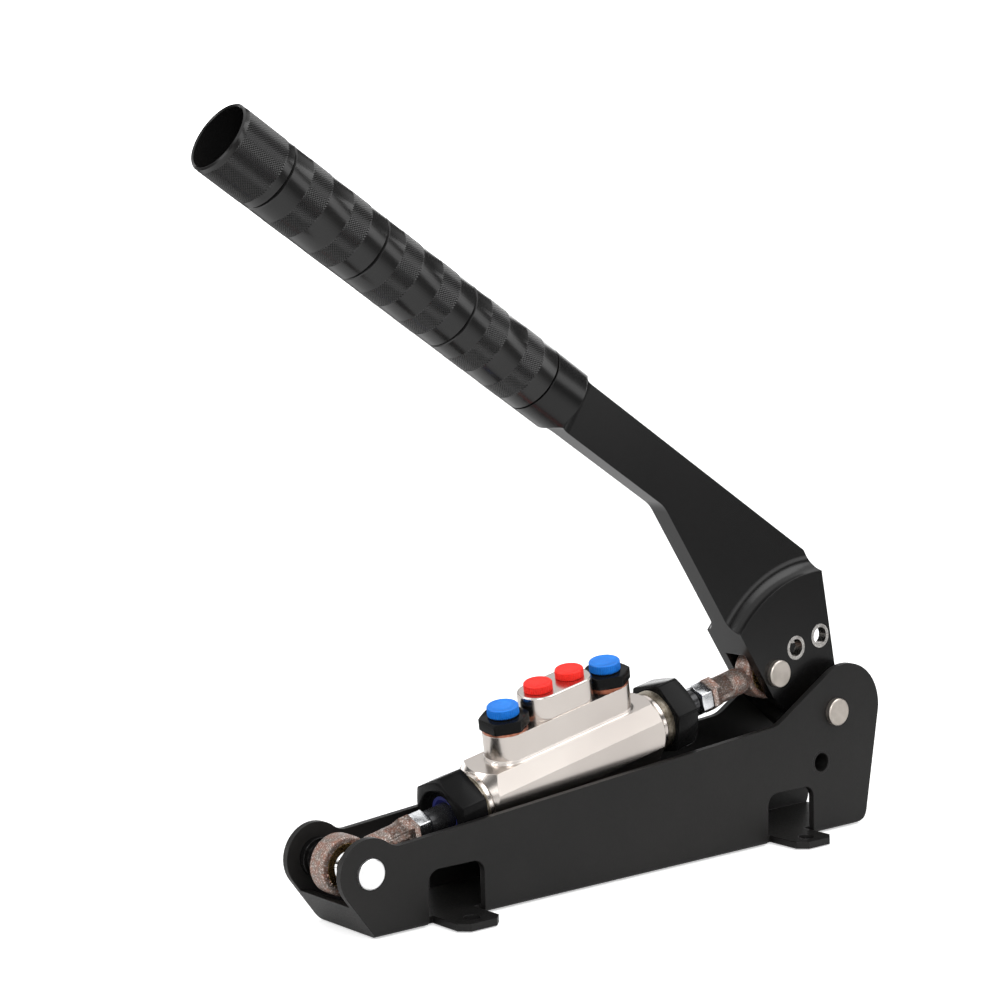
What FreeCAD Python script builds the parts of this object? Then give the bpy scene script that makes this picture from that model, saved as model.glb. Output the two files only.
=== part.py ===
import FreeCAD, Part
import math
import os
import re
import Sketcher

# Hydraulic parking brake lever. Millimetres, +Z up, +X from the front pin towards the lever pivot.
# The origin is on the underside, at the centre of the four fixing holes in the base's tabs.

document = FreeCAD.newDocument("ParkingBrakeLever")
sheet = document.addObject("Spreadsheet::Sheet", "Sizes")

drivingSizes = [
    # folded steel base
    ("plateThickness", 3.0, "thickness of the folded sheet"),
    ("channelWidth", 41.0, "outside width of the channel"),
    ("foldRadius", 2.4, "outside radius of the folds"),
    ("tabSpacing", 189.5, "front to rear distance of the fixing holes"),
    ("tabReach", 17.7, "how far a tab stands out from the side"),
    ("tabRootWidth", 21.0, "width of a tab where it leaves the base"),
    ("tabTipWidth", 13.0, "width of a tab at its clipped outer edge"),
    ("tabClip", 4.0, "length of the clipped corners across the tab"),
    ("tabHoleRadius", 3.6, "fixing hole in a tab"),
    ("tabHoleInset", 8.2, "fixing hole to the tab's outer edge"),
    ("windowLength", 28.6, "length of a side window"),
    ("windowHeight", 22.7, "top of a side window above the floor"),
    ("windowCorner", 5.5, "radius of the window's top corners"),
    ("frontPinSetback", 42.4, "front fixing hole to the front pin"),
    ("frontPinHeight", 26.7, "front pin above the floor"),
    ("frontLobeRadius", 14.3, "rounded ear about the front pin"),
    ("frontSlope", 53.4, "lean of the folded-up front, degrees"),
    ("frontSlopeHeight", 14.0, "top of the folded-up front above the floor"),
    ("frontTopHeight", 34.4, "height of the straight top edge above the front pin"),
    ("valleyRadius", 9.0, "hollow between the front ear and the top edge"),
    ("kinkHeight", 53.0, "height where the top edge turns up to the rear ear"),
    ("kinkRadius", 14.0, "easing of that turn"),
    ("rampSlope", 31.3, "lean of the top edge up to the rear ear, degrees"),
    ("pivotSetback", 29.0, "rear fixing hole to the pivot pin"),
    ("pivotHeight", 54.6, "pivot pin above the floor"),
    ("rearLobeRadius", 21.3, "rounded rear ear"),
    ("rearLobeSetback", 6.8, "centre of the rear ear behind the pivot pin"),
    ("rearEdgeLean", 10.0, "lean of the rear edge, degrees"),
    ("rearCornerRadius", 7.0, "rounding of the rear bottom corner"),
    ("tubeRadius", 5.5, "outside of the tube pressed through both sides"),
    ("tubeBoreRadius", 4.3, "open bore of that tube"),
    ("tubeSetback", 9.4, "tube ahead of the pivot pin"),
    ("tubeHeight", 32.4, "tube above the floor"),
    # pins and their clips
    ("pinRadius", 4.0, "shank of all three pins"),
    ("pinHeadRadius", 6.25, "head of all three pins"),
    ("frontHeadHeight", 1.6, "head of the front pin"),
    ("pinHeadHeight", 2.6, "head of the pivot pin and the lever pin"),
    ("pinHeadChamfer", 0.5, "chamfer of a pin's head"),
    ("pinTail", 3.2, "length of a pin past what it holds"),
    ("pinTailChamfer", 0.8, "lead of a pin's tail"),
    ("clipThickness", 1.0, "thickness of a retaining clip"),
    ("clipGrooveRadius", 3.0, "bottom of the clip's groove"),
    ("clipRadius", 6.6, "outside of a retaining clip"),
    ("clipMouth", 5.0, "open side of a retaining clip"),
    ("runningFit", 0.05, "radial clearance of a running fit"),
    ("seatGap", 0.1, "end clearance between neighbours"),
    ("cutMargin", 1.0, "how far a cut runs past the face it opens"),
    ("hexChamferAngle", 30.0, "turned chamfer of nuts and hexagons, degrees"),
    # lever
    ("leverLean", 33.75, "grip below the horizontal towards the pivot, degrees"),
    ("leverageRadius", 33.9, "pivot to each of the three rod pin holes"),
    ("pinHoleAngle", 143.9, "direction of the lowest rod pin hole, degrees"),
    ("pinHoleStep", 27.0, "angle between rod pin holes, degrees"),
    ("gripOffset", 46.9, "grip axis above the pivot, square to the grip"),
    ("collarStart", 219.8, "front of the lever's round collar ahead of the pivot"),
    ("collarSideFoot", 25.8, "front of the collar to the foot of the cuts on its sides"),
    ("collarTopFoot", 24.4, "front of the collar to the foot of the cut above"),
    ("collarLowFoot", 22.4, "front of the collar to the foot of the cut below"),
    ("collarCutRadius", 8.2, "cutter that takes the collar down to the flat bar"),
    ("barHeight", 24.0, "height of the flat bar"),
    ("barWidth", 10.0, "thickness of the flat bar"),
    ("elbowAhead", 130.0, "elbow of the bar's lower edge ahead of the pivot"),
    ("elbowRadius", 14.0, "rounding of the elbow"),
    ("frontEdgeLean", 23.7, "lean of the front edge against the grip, degrees"),
    ("bossFrontAhead", 29.5, "lower front corner of the boss ahead of the pivot"),
    ("bossWidth", 22.0, "thickness of the forked boss"),
    ("bossTopAhead", 44.0, "rear upper corner of the boss ahead of the pivot"),
    ("bossShoulderAhead", 34.2, "second rear corner of the boss ahead of the pivot"),
    ("bossShoulderHeight", 54.0, "second rear corner of the boss above the pivot"),
    ("bossEndRadius", 12.6, "rounded end of the boss about the pivot"),
    ("coveInnerRadius", 64.0, "edge of the boss face about the pivot"),
    ("coveWidth", 7.0, "radial width of the milled cove round the boss"),
    ("slotWidth", 12.6, "slot of the fork"),
    ("slotReach", 52.0, "end of the slot from the pivot"),
    ("bushRadius", 5.5, "outside of the bushes in the fork"),
    ("pivotBushRadius", 6.5, "outside of the pivot bushes"),
    ("pivotFlangeRadius", 9.5, "flange of the pivot bushes"),
    ("pivotSpacerRadius", 6.0, "outside of the spacer tube between the cheeks"),
    # grip
    ("gripRadius", 15.0, "outside of the grip"),
    ("gripBoreRadius", 12.2, "open bore of the grip"),
    ("gripMouthRadius", 13.7, "counterbore that leaves a thin wall at the open end"),
    ("gripMouthDepth", 18.0, "depth of that counterbore"),
    ("gripEndLength", 27.1, "open end of the grip to its first groove"),
    ("gripPitch", 51.03, "distance between the grooves"),
    ("grooveDepth", 0.7, "depth of a groove"),
    ("grooveWidth", 1.4, "width of a groove at the surface"),
    ("gripRimChamfer", 0.6, "chamfer round the grip's open end"),
    ("spigotLength", 46.0, "lever's spigot inside the grip"),
    # rod ends
    ("rodEndReach", 36.0, "eye centre to the end of the rod end"),
    ("rodEndHeadRadius", 12.4, "head of the rod end"),
    ("rodEndHeadWidth", 9.5, "width of the head"),
    ("rodEndEdgeRadius", 1.3, "rounded edges of the head"),
    ("rodEndNeckRadius", 6.2, "round shank of the rod end"),
    ("rodEndNeckInset", 0.3, "start of the neck inside the head's faces"),
    ("rodEndNeckTaper", 3.0, "end of the neck's taper past the head"),
    ("rodEndHexFlats", 13.6, "hexagon of the rod end across flats"),
    ("rodEndHexLength", 5.2, "length of that hexagon"),
    ("rodEndBoreDepth", 21.0, "depth of the threaded bore"),
    ("linerRadius", 9.4, "outside of the liner in the eye"),
    ("ballRadius", 7.9, "spherical ball"),
    ("ballWidth", 12.0, "width of the ball"),
    ("openPivotGap", 0.5, "clearance at the rear ball, where the closed linkage is opened"),
    ("spacerRadius", 6.2, "plain spacer on the front pin"),
    ("spacerFlangeRadius", 8.2, "flange of the stepped spacer"),
    ("spacerFlangeHeight", 3.0, "height of that flange"),
    # rods and pistons
    ("threadRadius", 4.0, "threaded end of a rod"),
    ("threadEngagement", 16.0, "rod inside the rod end"),
    ("rodChamfer", 1.0, "chamfers at the ends of a rod's thread"),
    ("nutFlats", 13.0, "lock nut across flats"),
    ("nutHeight", 6.5, "height of the lock nut"),
    ("rodRadius", 5.6, "polished rod"),
    ("pistonLength", 12.0, "length of a piston"),
    ("pistonClearance", 0.06, "radial clearance of a piston"),
    ("sealWidth", 3.2, "width of the piston seal's groove"),
    ("sealDepth", 2.0, "depth of that groove"),
    ("sealLip", 0.4, "lip of the piston seal"),
    ("springWire", 1.6, "wire of a return spring"),
    ("springTurns", 4.0, "turns of a return spring"),
    ("springSteps", 16.0, "straight stretches in a turn of the spring"),
    ("pistonStroke", 5.0, "travel of a piston"),
    # cylinder
    ("bodyShift", -1.0, "cylinder off the middle of the two pins, towards the lever"),
    ("bodyRoll", 7.1, "cylinder leaning to the near side in its ball joints, degrees"),
    ("bodyWidth", 28.8, "width of the eight-sided body"),
    ("bodyHeight", 28.4, "height of the eight-sided body"),
    ("bodyTopWidth", 22.2, "width of its top flat"),
    ("bodySideHeight", 12.0, "height of its side flats"),
    ("bodyHalfLength", 48.2, "centre to the end of the eight-sided body"),
    ("bodyShoulderRadius", 13.4, "end of the turned shoulder"),
    ("bodyShoulderLength", 5.2, "length of the turned shoulder"),
    ("neckRadius", 13.0, "turned ring behind the thread"),
    ("neckLength", 2.0, "length of that ring"),
    ("maleThreadRadius", 12.6, "thread that carries the gland nut"),
    ("exposedThread", 3.0, "thread left open between ring and nut"),
    ("boreRadius", 9.0, "bore of the cylinder"),
    ("webHalf", 2.0, "half the wall between the two bores"),
    ("pistonRest", 3.0, "centre of the body to a piston at rest"),
    ("towerRadius", 9.85, "half width of the tower"),
    ("blockRadius", 9.3, "half width of the middle block"),
    ("inletSpacing", 57.2, "distance of the two inlets"),
    ("outletSpacing", 17.5, "distance of the two outlets"),
    ("inletSeatHeight", 26.7, "seat of the inlets above the bore's axis"),
    ("outletSeatHeight", 37.1, "top of the middle block above the bore's axis"),
    ("blockEdgeRadius", 0.9, "rounding of the middle block's top edge"),
    ("inletPortRadius", 6.0, "threaded port of an inlet"),
    ("inletPortDepth", 8.0, "depth of that port"),
    ("inletPortRunout", 1.5, "port left free below the adaptor"),
    ("inletDrillRadius", 2.0, "drilling from an inlet to the bore"),
    ("outletPortRadius", 5.0, "threaded port of an outlet"),
    ("outletPortDepth", 9.0, "depth of that port"),
    # gland nuts
    ("glandFlats", 30.0, "gland nut across flats"),
    ("glandLength", 13.0, "length of a gland nut"),
    ("glandThreadDepth", 8.5, "threaded depth of a gland nut"),
    ("glandMouthRadius", 10.2, "lipped mouth of a gland nut"),
    ("glandMouthDepth", 1.8, "depth of that mouth"),
    ("glandBoreRadius", 8.6, "opening behind the mouth"),
    ("glandChamfer", 1.6, "turned chamfer of a gland nut"),
    ("frontGlandTurn", 8.8, "turn of the front gland nut about the bore, degrees"),
    ("rearGlandTurn", -19.4, "turn of the rear gland nut about the bore, degrees"),
    ("guideLength", 21.0, "rod guide inside the bore"),
    ("wiperHeight", 3.0, "height of the rod wiper"),
    ("wiperLipWidth", 1.6, "slope of the wiper's lip across the rod"),
    ("wiperLipHeight", 1.2, "height of that slope"),
    # inlets and outlets
    ("adaptorFlats", 19.0, "inlet adaptor across flats"),
    ("adaptorHeight", 5.0, "height of its hexagon"),
    ("adaptorNeckHeight", 0.5, "neck between hexagon and cap"),
    ("adaptorNippleRadius", 5.0, "threaded top of the adaptor"),
    ("adaptorNippleHeight", 2.4, "length of that thread under the cap"),
    ("adaptorBoreRadius", 2.6, "bore of the adaptor"),
    ("washerRadius", 9.75, "copper washer"),
    ("washerThickness", 1.0, "thickness of the washer"),
    ("inletCapRadius", 6.8, "blue inlet cap"),
    ("inletCapHeight", 4.1, "height of the blue cap"),
    ("outletCapRadius", 6.2, "red outlet cap"),
    ("outletCapHeight", 3.6, "height of the red cap over its seat"),
    ("outletPlugLength", 6.0, "plug of the red cap inside its port"),
    ("capWall", 1.2, "wall of the red cap"),
    ("capEdge", 0.4, "chamfered top edge of a cap"),
]

for row, (alias, value, words) in enumerate(drivingSizes, start=1):
    sheet.set(f"A{row}", words)
    sheet.set(f"B{row}", str(value))
    sheet.setAlias(f"B{row}", alias)
document.recompute()

subParts = []
X = FreeCAD.Vector(1, 0, 0)
Y = FreeCAD.Vector(0, 1, 0)
Z = FreeCAD.Vector(0, 0, 1)


def size(alias):
    return float(sheet.get(alias))


def bound(text):
    """Turn a formula of plain aliases into one that other objects can read."""
    return re.sub(r"[A-Za-z]\w*(?![\w(])", lambda word: "Sizes." + word.group(0), text)


def valueOf(text):
    return float(sheet.evalExpression(bound(text)))


def bind(item, **formulas):
    for field, text in formulas.items():
        item.setExpression(field, bound(text))


def frameAt(origin, xAxis, zAxis):
    """Placement whose local X and Z point along the given directions."""
    yAxis = zAxis.cross(xAxis)
    return FreeCAD.Placement(FreeCAD.Matrix(
        xAxis.x, yAxis.x, zAxis.x, origin.x,
        xAxis.y, yAxis.y, zAxis.y, origin.y,
        xAxis.z, yAxis.z, zAxis.z, origin.z,
        0, 0, 0, 1))


def newBody(label, placement):
    body = document.addObject("PartDesign::Body", label)
    body.Label = label
    body.Placement = placement
    subParts.append(body)
    return body


def newSketch(body, plane, offset="0"):
    sketch = body.newObject("Sketcher::SketchObject", body.Name + "_sketch")
    for feature in body.Origin.OriginFeatures:
        if feature.Role == plane:
            sketch.AttachmentSupport = [(feature, "")]
    sketch.MapMode = "FlatFace"
    bind(sketch, **{"AttachmentOffset.Base.z": offset})
    return sketch


def holdPoint(sketch, geometry, position, x, y):
    """Fix a point of the sketch by its two distances from the origin."""
    for kind, text in (("DistanceX", x), ("DistanceY", y)):
        index = sketch.addConstraint(
            Sketcher.Constraint(kind, -1, 1, geometry, position, valueOf(text)))
        sketch.setExpression(f"Constraints[{index}]", bound(text))


def drawOutline(sketch, corners):
    """Closed outline whose corners are held by two formulas each.

    A third formula turns the edge after a corner into a short arc of that radius, with its
    centre to the left of the way to the next corner, or to the right where a fourth says so.
    """
    points = [FreeCAD.Vector(valueOf(corner[0]), valueOf(corner[1]), 0) for corner in corners]
    edges = []
    for number, corner in enumerate(corners):
        start = points[number]
        finish = points[(number + 1) % len(points)]
        if len(corner) == 2:
            edges.append((sketch.addGeometry(Part.LineSegment(start, finish)), 1, 2))
            continue
        radius = valueOf(corner[2])
        left = len(corner) == 3
        chord = finish - start
        aside = Z.cross(chord).normalize() if left else chord.cross(Z).normalize()
        centre = (start + finish) * 0.5 + aside * math.sqrt(radius ** 2 - chord.Length ** 2 / 4)
        first, last = (start - centre, finish - centre) if left else (finish - centre, start - centre)
        arc = Part.ArcOfCircle(Part.Circle(centre, Z, radius), math.atan2(first.y, first.x),
                               math.atan2(last.y, last.x))
        index = sketch.addGeometry(arc)
        edges.append((index, 1, 2) if left else (index, 2, 1))
    for number, (index, startEnd, finishEnd) in enumerate(edges):
        following, followingStart, _ = edges[(number + 1) % len(edges)]
        sketch.addConstraint(
            Sketcher.Constraint("Coincident", index, finishEnd, following, followingStart))
    for corner, (index, startEnd, finishEnd) in zip(corners, edges):
        holdPoint(sketch, index, startEnd, corner[0], corner[1])
        if len(corner) > 2:
            held = sketch.addConstraint(Sketcher.Constraint("Radius", index, valueOf(corner[2])))
            sketch.setExpression(f"Constraints[{held}]", bound(corner[2]))


def drawCircle(sketch, x, y, radius):
    centre = FreeCAD.Vector(valueOf(x), valueOf(y), 0)
    index = sketch.addGeometry(Part.Circle(centre, FreeCAD.Vector(0, 0, 1), valueOf(radius)))
    holdPoint(sketch, index, 3, x, y)
    held = sketch.addConstraint(Sketcher.Constraint("Radius", index, valueOf(radius)))
    sketch.setExpression(f"Constraints[{held}]", bound(radius))


def hexagonCorners(flats, turn="0"):
    """Six corners with flats square to the sketch's vertical at no turn."""
    return [(f"{flats} / sqrt(3) * cos({60 * k} + {turn})",
             f"{flats} / sqrt(3) * sin({60 * k} + {turn})") for k in range(6)]


def extrude(body, kind, sketch, length, bothWays=False, reverse=False):
    """Pad or Pocket with a bound length, checked to have changed the body."""
    before = body.Shape.Volume if body.Tip else 0.0
    feature = body.newObject("PartDesign::" + kind, body.Name + "_" + kind)
    feature.Profile = sketch
    feature.SideType = "Symmetric" if bothWays else "One side"
    feature.Reversed = reverse
    bind(feature, Length=length)
    document.recompute()
    requireChange(feature, before)
    return feature


def turn(body, kind, sketch, axis):
    """Revolution or Groove about one of the sketch's own axes."""
    before = body.Shape.Volume if body.Tip else 0.0
    feature = body.newObject("PartDesign::" + kind, body.Name + "_" + kind)
    feature.Profile = sketch
    feature.ReferenceAxis = (sketch, [axis])
    feature.Angle = 360
    document.recompute()
    requireChange(feature, before)
    return feature


def requireChange(feature, before):
    if abs(feature.Shape.Volume - before) < 1e-6:
        raise RuntimeError(feature.Name + " changed nothing")


def turned(label, placement, corners):
    """Piece of revolution about its local Z, drawn as radius and height."""
    body = newBody(label, placement)
    sketch = newSketch(body, "XZ_Plane")
    drawOutline(sketch, corners)
    turn(body, "Revolution", sketch, "V_Axis")
    return body


def ring(label, placement, inner, outer, low, high):
    return turned(label, placement, [(inner, low), (outer, low), (outer, high), (inner, high)])


def finishEdges(body, kind, wanted, **formulas):
    """Fillet or Chamfer on the edges of the body's last feature for which wanted(edge) is true."""
    last = body.Tip
    edges = [f"Edge{number}" for number, edge in enumerate(last.Shape.Edges, start=1) if wanted(edge)]
    if not edges:
        raise RuntimeError(body.Name + " has no edge to finish")
    feature = body.newObject("PartDesign::" + kind, body.Name + "_" + kind)
    feature.Base = (last, edges)
    bind(feature, **formulas)
    document.recompute()
    return feature


def alongLine(edge, direction):
    """True for a straight edge along the direction."""
    if edge.Curve.TypeId != "Part::GeomLine":
        return False
    return abs(abs(edge.Curve.Direction.dot(direction)) - 1) < 1e-6


nearSide = Y.negative()
edgeReach = 0.1  # how near the place that a finish names its edge lies

# The main points of the linkage at rest, and the cylinder's own directions.
frontPin = FreeCAD.Vector(-size("tabSpacing") / 2 - size("frontPinSetback"), 0, size("frontPinHeight"))
pivotPin = FreeCAD.Vector(size("tabSpacing") / 2 + size("pivotSetback"), 0, size("pivotHeight"))
pinHole = math.radians(size("pinHoleAngle"))
leverPin = pivotPin + FreeCAD.Vector(math.cos(pinHole), 0, math.sin(pinHole)) * size("leverageRadius")
boreAxis = (leverPin - frontPin).normalize()
boreUp = boreAxis.cross(Y)
bodyCentre = (frontPin + leverPin) * 0.5 + boreAxis * size("bodyShift")
roll = math.radians(size("bodyRoll"))
towerUp = boreUp * math.cos(roll) + nearSide * math.sin(roll)
gripAxis = FreeCAD.Rotation(Y, size("leverLean")).multVec(X)
gripUp = gripAxis.cross(Y)


def onPin(point):
    """Local Z points to the near side, with the origin in the middle plane."""
    return frameAt(point, X, nearSide)


halfInside = "(channelWidth / 2 - plateThickness)"


def makeBase():
    body = newBody("base_frame", FreeCAD.Placement())
    frontX = "(-tabSpacing / 2 - frontPinSetback)"
    pivotX = "(tabSpacing / 2 + pivotSetback)"
    rearX = f"({pivotX} + rearLobeSetback)"
    slopeX = f"({frontX} - frontLobeRadius * sin(frontSlope))"
    slopeZ = "(frontPinHeight - frontLobeRadius * cos(frontSlope))"
    slopeFootX = f"({slopeX} + {slopeZ} / tan(frontSlope))"
    rampX = f"({rearX} - rearLobeRadius * sin(rampSlope))"
    rampZ = "(pivotHeight + rearLobeRadius * cos(rampSlope))"
    kinkX = f"({rampX} - ({rampZ} - kinkHeight) / tan(rampSlope))"
    edgeX = f"({rearX} + rearLobeRadius * cos(rearEdgeLean))"
    edgeZ = "(pivotHeight - rearLobeRadius * sin(rearEdgeLean))"
    edgeFootX = f"({edgeX} - {edgeZ} * tan(rearEdgeLean))"
    side = newSketch(body, "XZ_Plane")
    drawOutline(side, [(slopeFootX, "0"), (edgeFootX, "0"), (edgeX, edgeZ), (rearX, "pivotHeight"),
                       (rampX, rampZ), (kinkX, "kinkHeight"), (frontX, "frontTopHeight"),
                       (frontX, "frontPinHeight"), (slopeX, slopeZ)])
    extrude(body, "Pad", side, "channelWidth", bothWays=True)
    for x, z, radius in ((frontX, "frontPinHeight", "frontLobeRadius"),
                         (rearX, "pivotHeight", "rearLobeRadius")):
        ear = newSketch(body, "XZ_Plane")
        drawCircle(ear, x, z, radius)
        extrude(body, "Pad", ear, "channelWidth", bothWays=True)

    def across(edge, x, z):
        centre = edge.BoundBox.Center
        return alongLine(edge, Y) and abs(centre.x - x) < edgeReach and abs(centre.z - z) < edgeReach

    finishEdges(body, "Fillet", lambda edge: across(edge, valueOf(kinkX), size("kinkHeight")),
                Radius="kinkRadius")
    # the hollow where the front ear meets the top edge
    rise = (size("kinkHeight") - size("frontTopHeight")) / (valueOf(kinkX) - valueOf(frontX))
    lean = math.atan(rise)
    offset = (size("frontTopHeight") - size("frontPinHeight")) * math.cos(lean)
    along = math.sqrt(size("frontLobeRadius") ** 2 - offset ** 2)
    valleyX = valueOf(frontX) + along * math.cos(lean) - offset * math.sin(lean)
    valleyZ = size("frontPinHeight") + along * math.sin(lean) + offset * math.cos(lean)
    finishEdges(body, "Fillet", lambda edge: across(edge, valleyX, valleyZ), Radius="valleyRadius")
    # rounded rear bottom corner, and the outside of the two long folds
    inset = "(rearCornerRadius / tan(45 + rearEdgeLean / 2))"
    corner = newSketch(body, "XZ_Plane")
    drawOutline(corner, [
        (f"{edgeFootX} - {inset}", "0", "rearCornerRadius"),
        (f"{edgeFootX} + {inset} * sin(rearEdgeLean)", f"{inset} * cos(rearEdgeLean)"),
        (f"{edgeFootX} + rearCornerRadius", f"{inset} * cos(rearEdgeLean)"),
        (f"{edgeFootX} + rearCornerRadius", "-cutMargin"), (f"{edgeFootX} - {inset}", "-cutMargin")])
    extrude(body, "Pocket", corner, "2 * channelWidth", bothWays=True)
    folds = newSketch(body, "YZ_Plane")
    half = "(channelWidth / 2)"
    for hand, side in (("", ()), ("-", ("right",))):
        drawOutline(folds, [(f"{hand}({half} - foldRadius)", "0", "foldRadius") + side,
                            (f"{hand}{half}", "foldRadius"), (f"{hand}({half} + cutMargin)", "foldRadius"),
                            (f"{hand}({half} + cutMargin)", "-cutMargin"),
                            (f"{hand}({half} - foldRadius)", "-cutMargin")])
    extrude(body, "Pocket", folds, "4 * tabSpacing", bothWays=True)
    # hollow of the channel, open at the top and at the rear
    slopeInset = "(plateThickness / sin(frontSlope))"
    hollow = newSketch(body, "XZ_Plane")
    top = "(pivotHeight + 2 * rearLobeRadius)"
    drawOutline(hollow, [
        (f"{slopeFootX} + {slopeInset} - plateThickness / tan(frontSlope)", "plateThickness"),
        (f"{rearX} + 2 * rearLobeRadius", "plateThickness"),
        (f"{rearX} + 2 * rearLobeRadius", top),
        (f"{frontX} - 2 * frontLobeRadius", top),
        (f"{frontX} - 2 * frontLobeRadius", "frontSlopeHeight"),
        (f"{slopeFootX} + {slopeInset} - frontSlopeHeight / tan(frontSlope)", "frontSlopeHeight")])
    extrude(body, "Pocket", hollow, "channelWidth - 2 * plateThickness", bothWays=True)
    # windows over the tabs, open at the foot, with the floor left between the sides
    windows = newSketch(body, "XZ_Plane")
    relief = newSketch(body, "XY_Plane")
    for end in ("-", ""):
        middle = f"{end}tabSpacing / 2"
        left = f"{middle} - windowLength / 2"
        right = f"{middle} + windowLength / 2"
        drawOutline(windows, [(left, "plateThickness"), (right, "plateThickness"),
                              (right, "windowHeight"), (left, "windowHeight")])
        for inner, outer in ((halfInside, "channelWidth"), ("-" + halfInside, "-channelWidth")):
            drawOutline(relief, [(left, inner), (right, inner), (right, outer), (left, outer)])
    extrude(body, "Pocket", windows, "2 * channelWidth", bothWays=True)
    extrude(body, "Pocket", relief, "plateThickness", reverse=True)
    # tabs with clipped corners and their fixing holes
    tabs = newSketch(body, "XY_Plane")
    holes = newSketch(body, "XY_Plane")
    for end in ("-", ""):
        middle = f"{end}tabSpacing / 2"
        for hand in ("-", ""):
            root = f"{hand}{halfInside}"
            clip = f"{hand}(channelWidth / 2 + tabReach - tabClip)"
            tip = f"{hand}(channelWidth / 2 + tabReach)"
            drawOutline(tabs, [
                (f"{middle} - tabRootWidth / 2", root), (f"{middle} + tabRootWidth / 2", root),
                (f"{middle} + tabRootWidth / 2", clip), (f"{middle} + tabTipWidth / 2", tip),
                (f"{middle} - tabTipWidth / 2", tip), (f"{middle} - tabRootWidth / 2", clip)])
            drawCircle(holes, middle, f"{hand}(channelWidth / 2 + tabReach - tabHoleInset)", "tabHoleRadius")
    extrude(body, "Pad", tabs, "plateThickness")
    extrude(body, "Pocket", holes, "plateThickness", reverse=True)
    # holes of the pins and of the tube, through both sides
    pins = newSketch(body, "XZ_Plane")
    drawCircle(pins, frontX, "frontPinHeight", "pinRadius")
    drawCircle(pins, pivotX, "pivotHeight", "pinRadius")
    drawCircle(pins, f"{pivotX} - tubeSetback", "tubeHeight", "tubeRadius")
    extrude(body, "Pocket", pins, "2 * channelWidth", bothWays=True)

    windowEnds = [side * size("tabSpacing") / 2 + end * size("windowLength") / 2
                  for side in (-1, 1) for end in (-1, 1)]
    finishEdges(body, "Fillet", lambda edge: any(
        across(edge, x, size("windowHeight")) for x in windowEnds), Radius="windowCorner")


def makePin(label, point, grip, head):
    """Headed pin: its head bears on the near face, its tail carries a clip on the far side."""
    clipLow = f"(-{grip} - seatGap - clipThickness - seatGap)"
    clipHigh = f"(-{grip} - seatGap)"
    tail = f"(-{grip} - pinTail)"
    turned(label, onPin(point), [
        ("0", tail), ("clipGrooveRadius", tail), ("pinRadius - runningFit", f"{tail} + pinTailChamfer"),
        ("pinRadius - runningFit", clipLow), ("clipGrooveRadius", clipLow),
        ("clipGrooveRadius", clipHigh), ("pinRadius - runningFit", clipHigh),
        ("pinRadius - runningFit", grip), ("pinHeadRadius", grip),
        ("pinHeadRadius", f"{grip} + {head} - pinHeadChamfer"),
        ("pinHeadRadius - pinHeadChamfer", f"{grip} + {head}"), ("0", f"{grip} + {head}")])
    clip = newBody(label + "_clip", onPin(point))
    outline = newSketch(clip, "XY_Plane", clipLow + " + seatGap")
    drawCircle(outline, "0", "0", "clipRadius")
    drawCircle(outline, "0", "0", "clipGrooveRadius + runningFit")
    extrude(clip, "Pad", outline, "clipThickness")
    mouth = newSketch(clip, "XY_Plane", clipLow + " + seatGap")
    drawOutline(mouth, [("-clipMouth / 2", "0"), ("clipMouth / 2", "0"),
                        ("clipMouth / 2", "2 * clipRadius"), ("-clipMouth / 2", "2 * clipRadius")])
    extrude(clip, "Pocket", mouth, "clipThickness", reverse=True)


def makeBall(label, point):
    """Steel ball with flats, bored for its pin; a primitive for each surface."""
    sphere = document.addObject("Part::Sphere", label + "_sphere")
    bind(sphere, Radius="ballRadius")
    cheeks = document.addObject("Part::Cylinder", label + "_cheeks")
    bind(cheeks, Radius="ballRadius", Height="ballWidth")
    bind(cheeks, **{"Placement.Base.z": "-ballWidth / 2"})
    bore = document.addObject("Part::Cylinder", label + "_bore")
    bind(bore, Radius="pinRadius", Height="2 * ballWidth")
    bind(bore, **{"Placement.Base.z": "-ballWidth"})
    solid = document.addObject("Part::MultiCommon", label + "_solid")
    solid.Shapes = [sphere, cheeks]
    ball = document.addObject("Part::Cut", label)
    ball.Base = solid
    ball.Tool = bore
    ball.Label = label
    ball.Placement = onPin(point)
    subParts.append(ball)
    document.recompute()


def makeLiner(label, point, clearance):
    """Bronze race, hollowed to the ball with the given clearance."""
    blank = document.addObject("Part::Cylinder", label + "_blank")
    bind(blank, Radius="linerRadius", Height="rodEndHeadWidth")
    bind(blank, **{"Placement.Base.z": "-rodEndHeadWidth / 2"})
    hollow = document.addObject("Part::Sphere", label + "_hollow")
    bind(hollow, Radius=f"ballRadius + {clearance}")
    liner = document.addObject("Part::Cut", label)
    liner.Base = blank
    liner.Tool = hollow
    liner.Label = label
    liner.Placement = onPin(point)
    subParts.append(liner)
    document.recompute()


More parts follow.
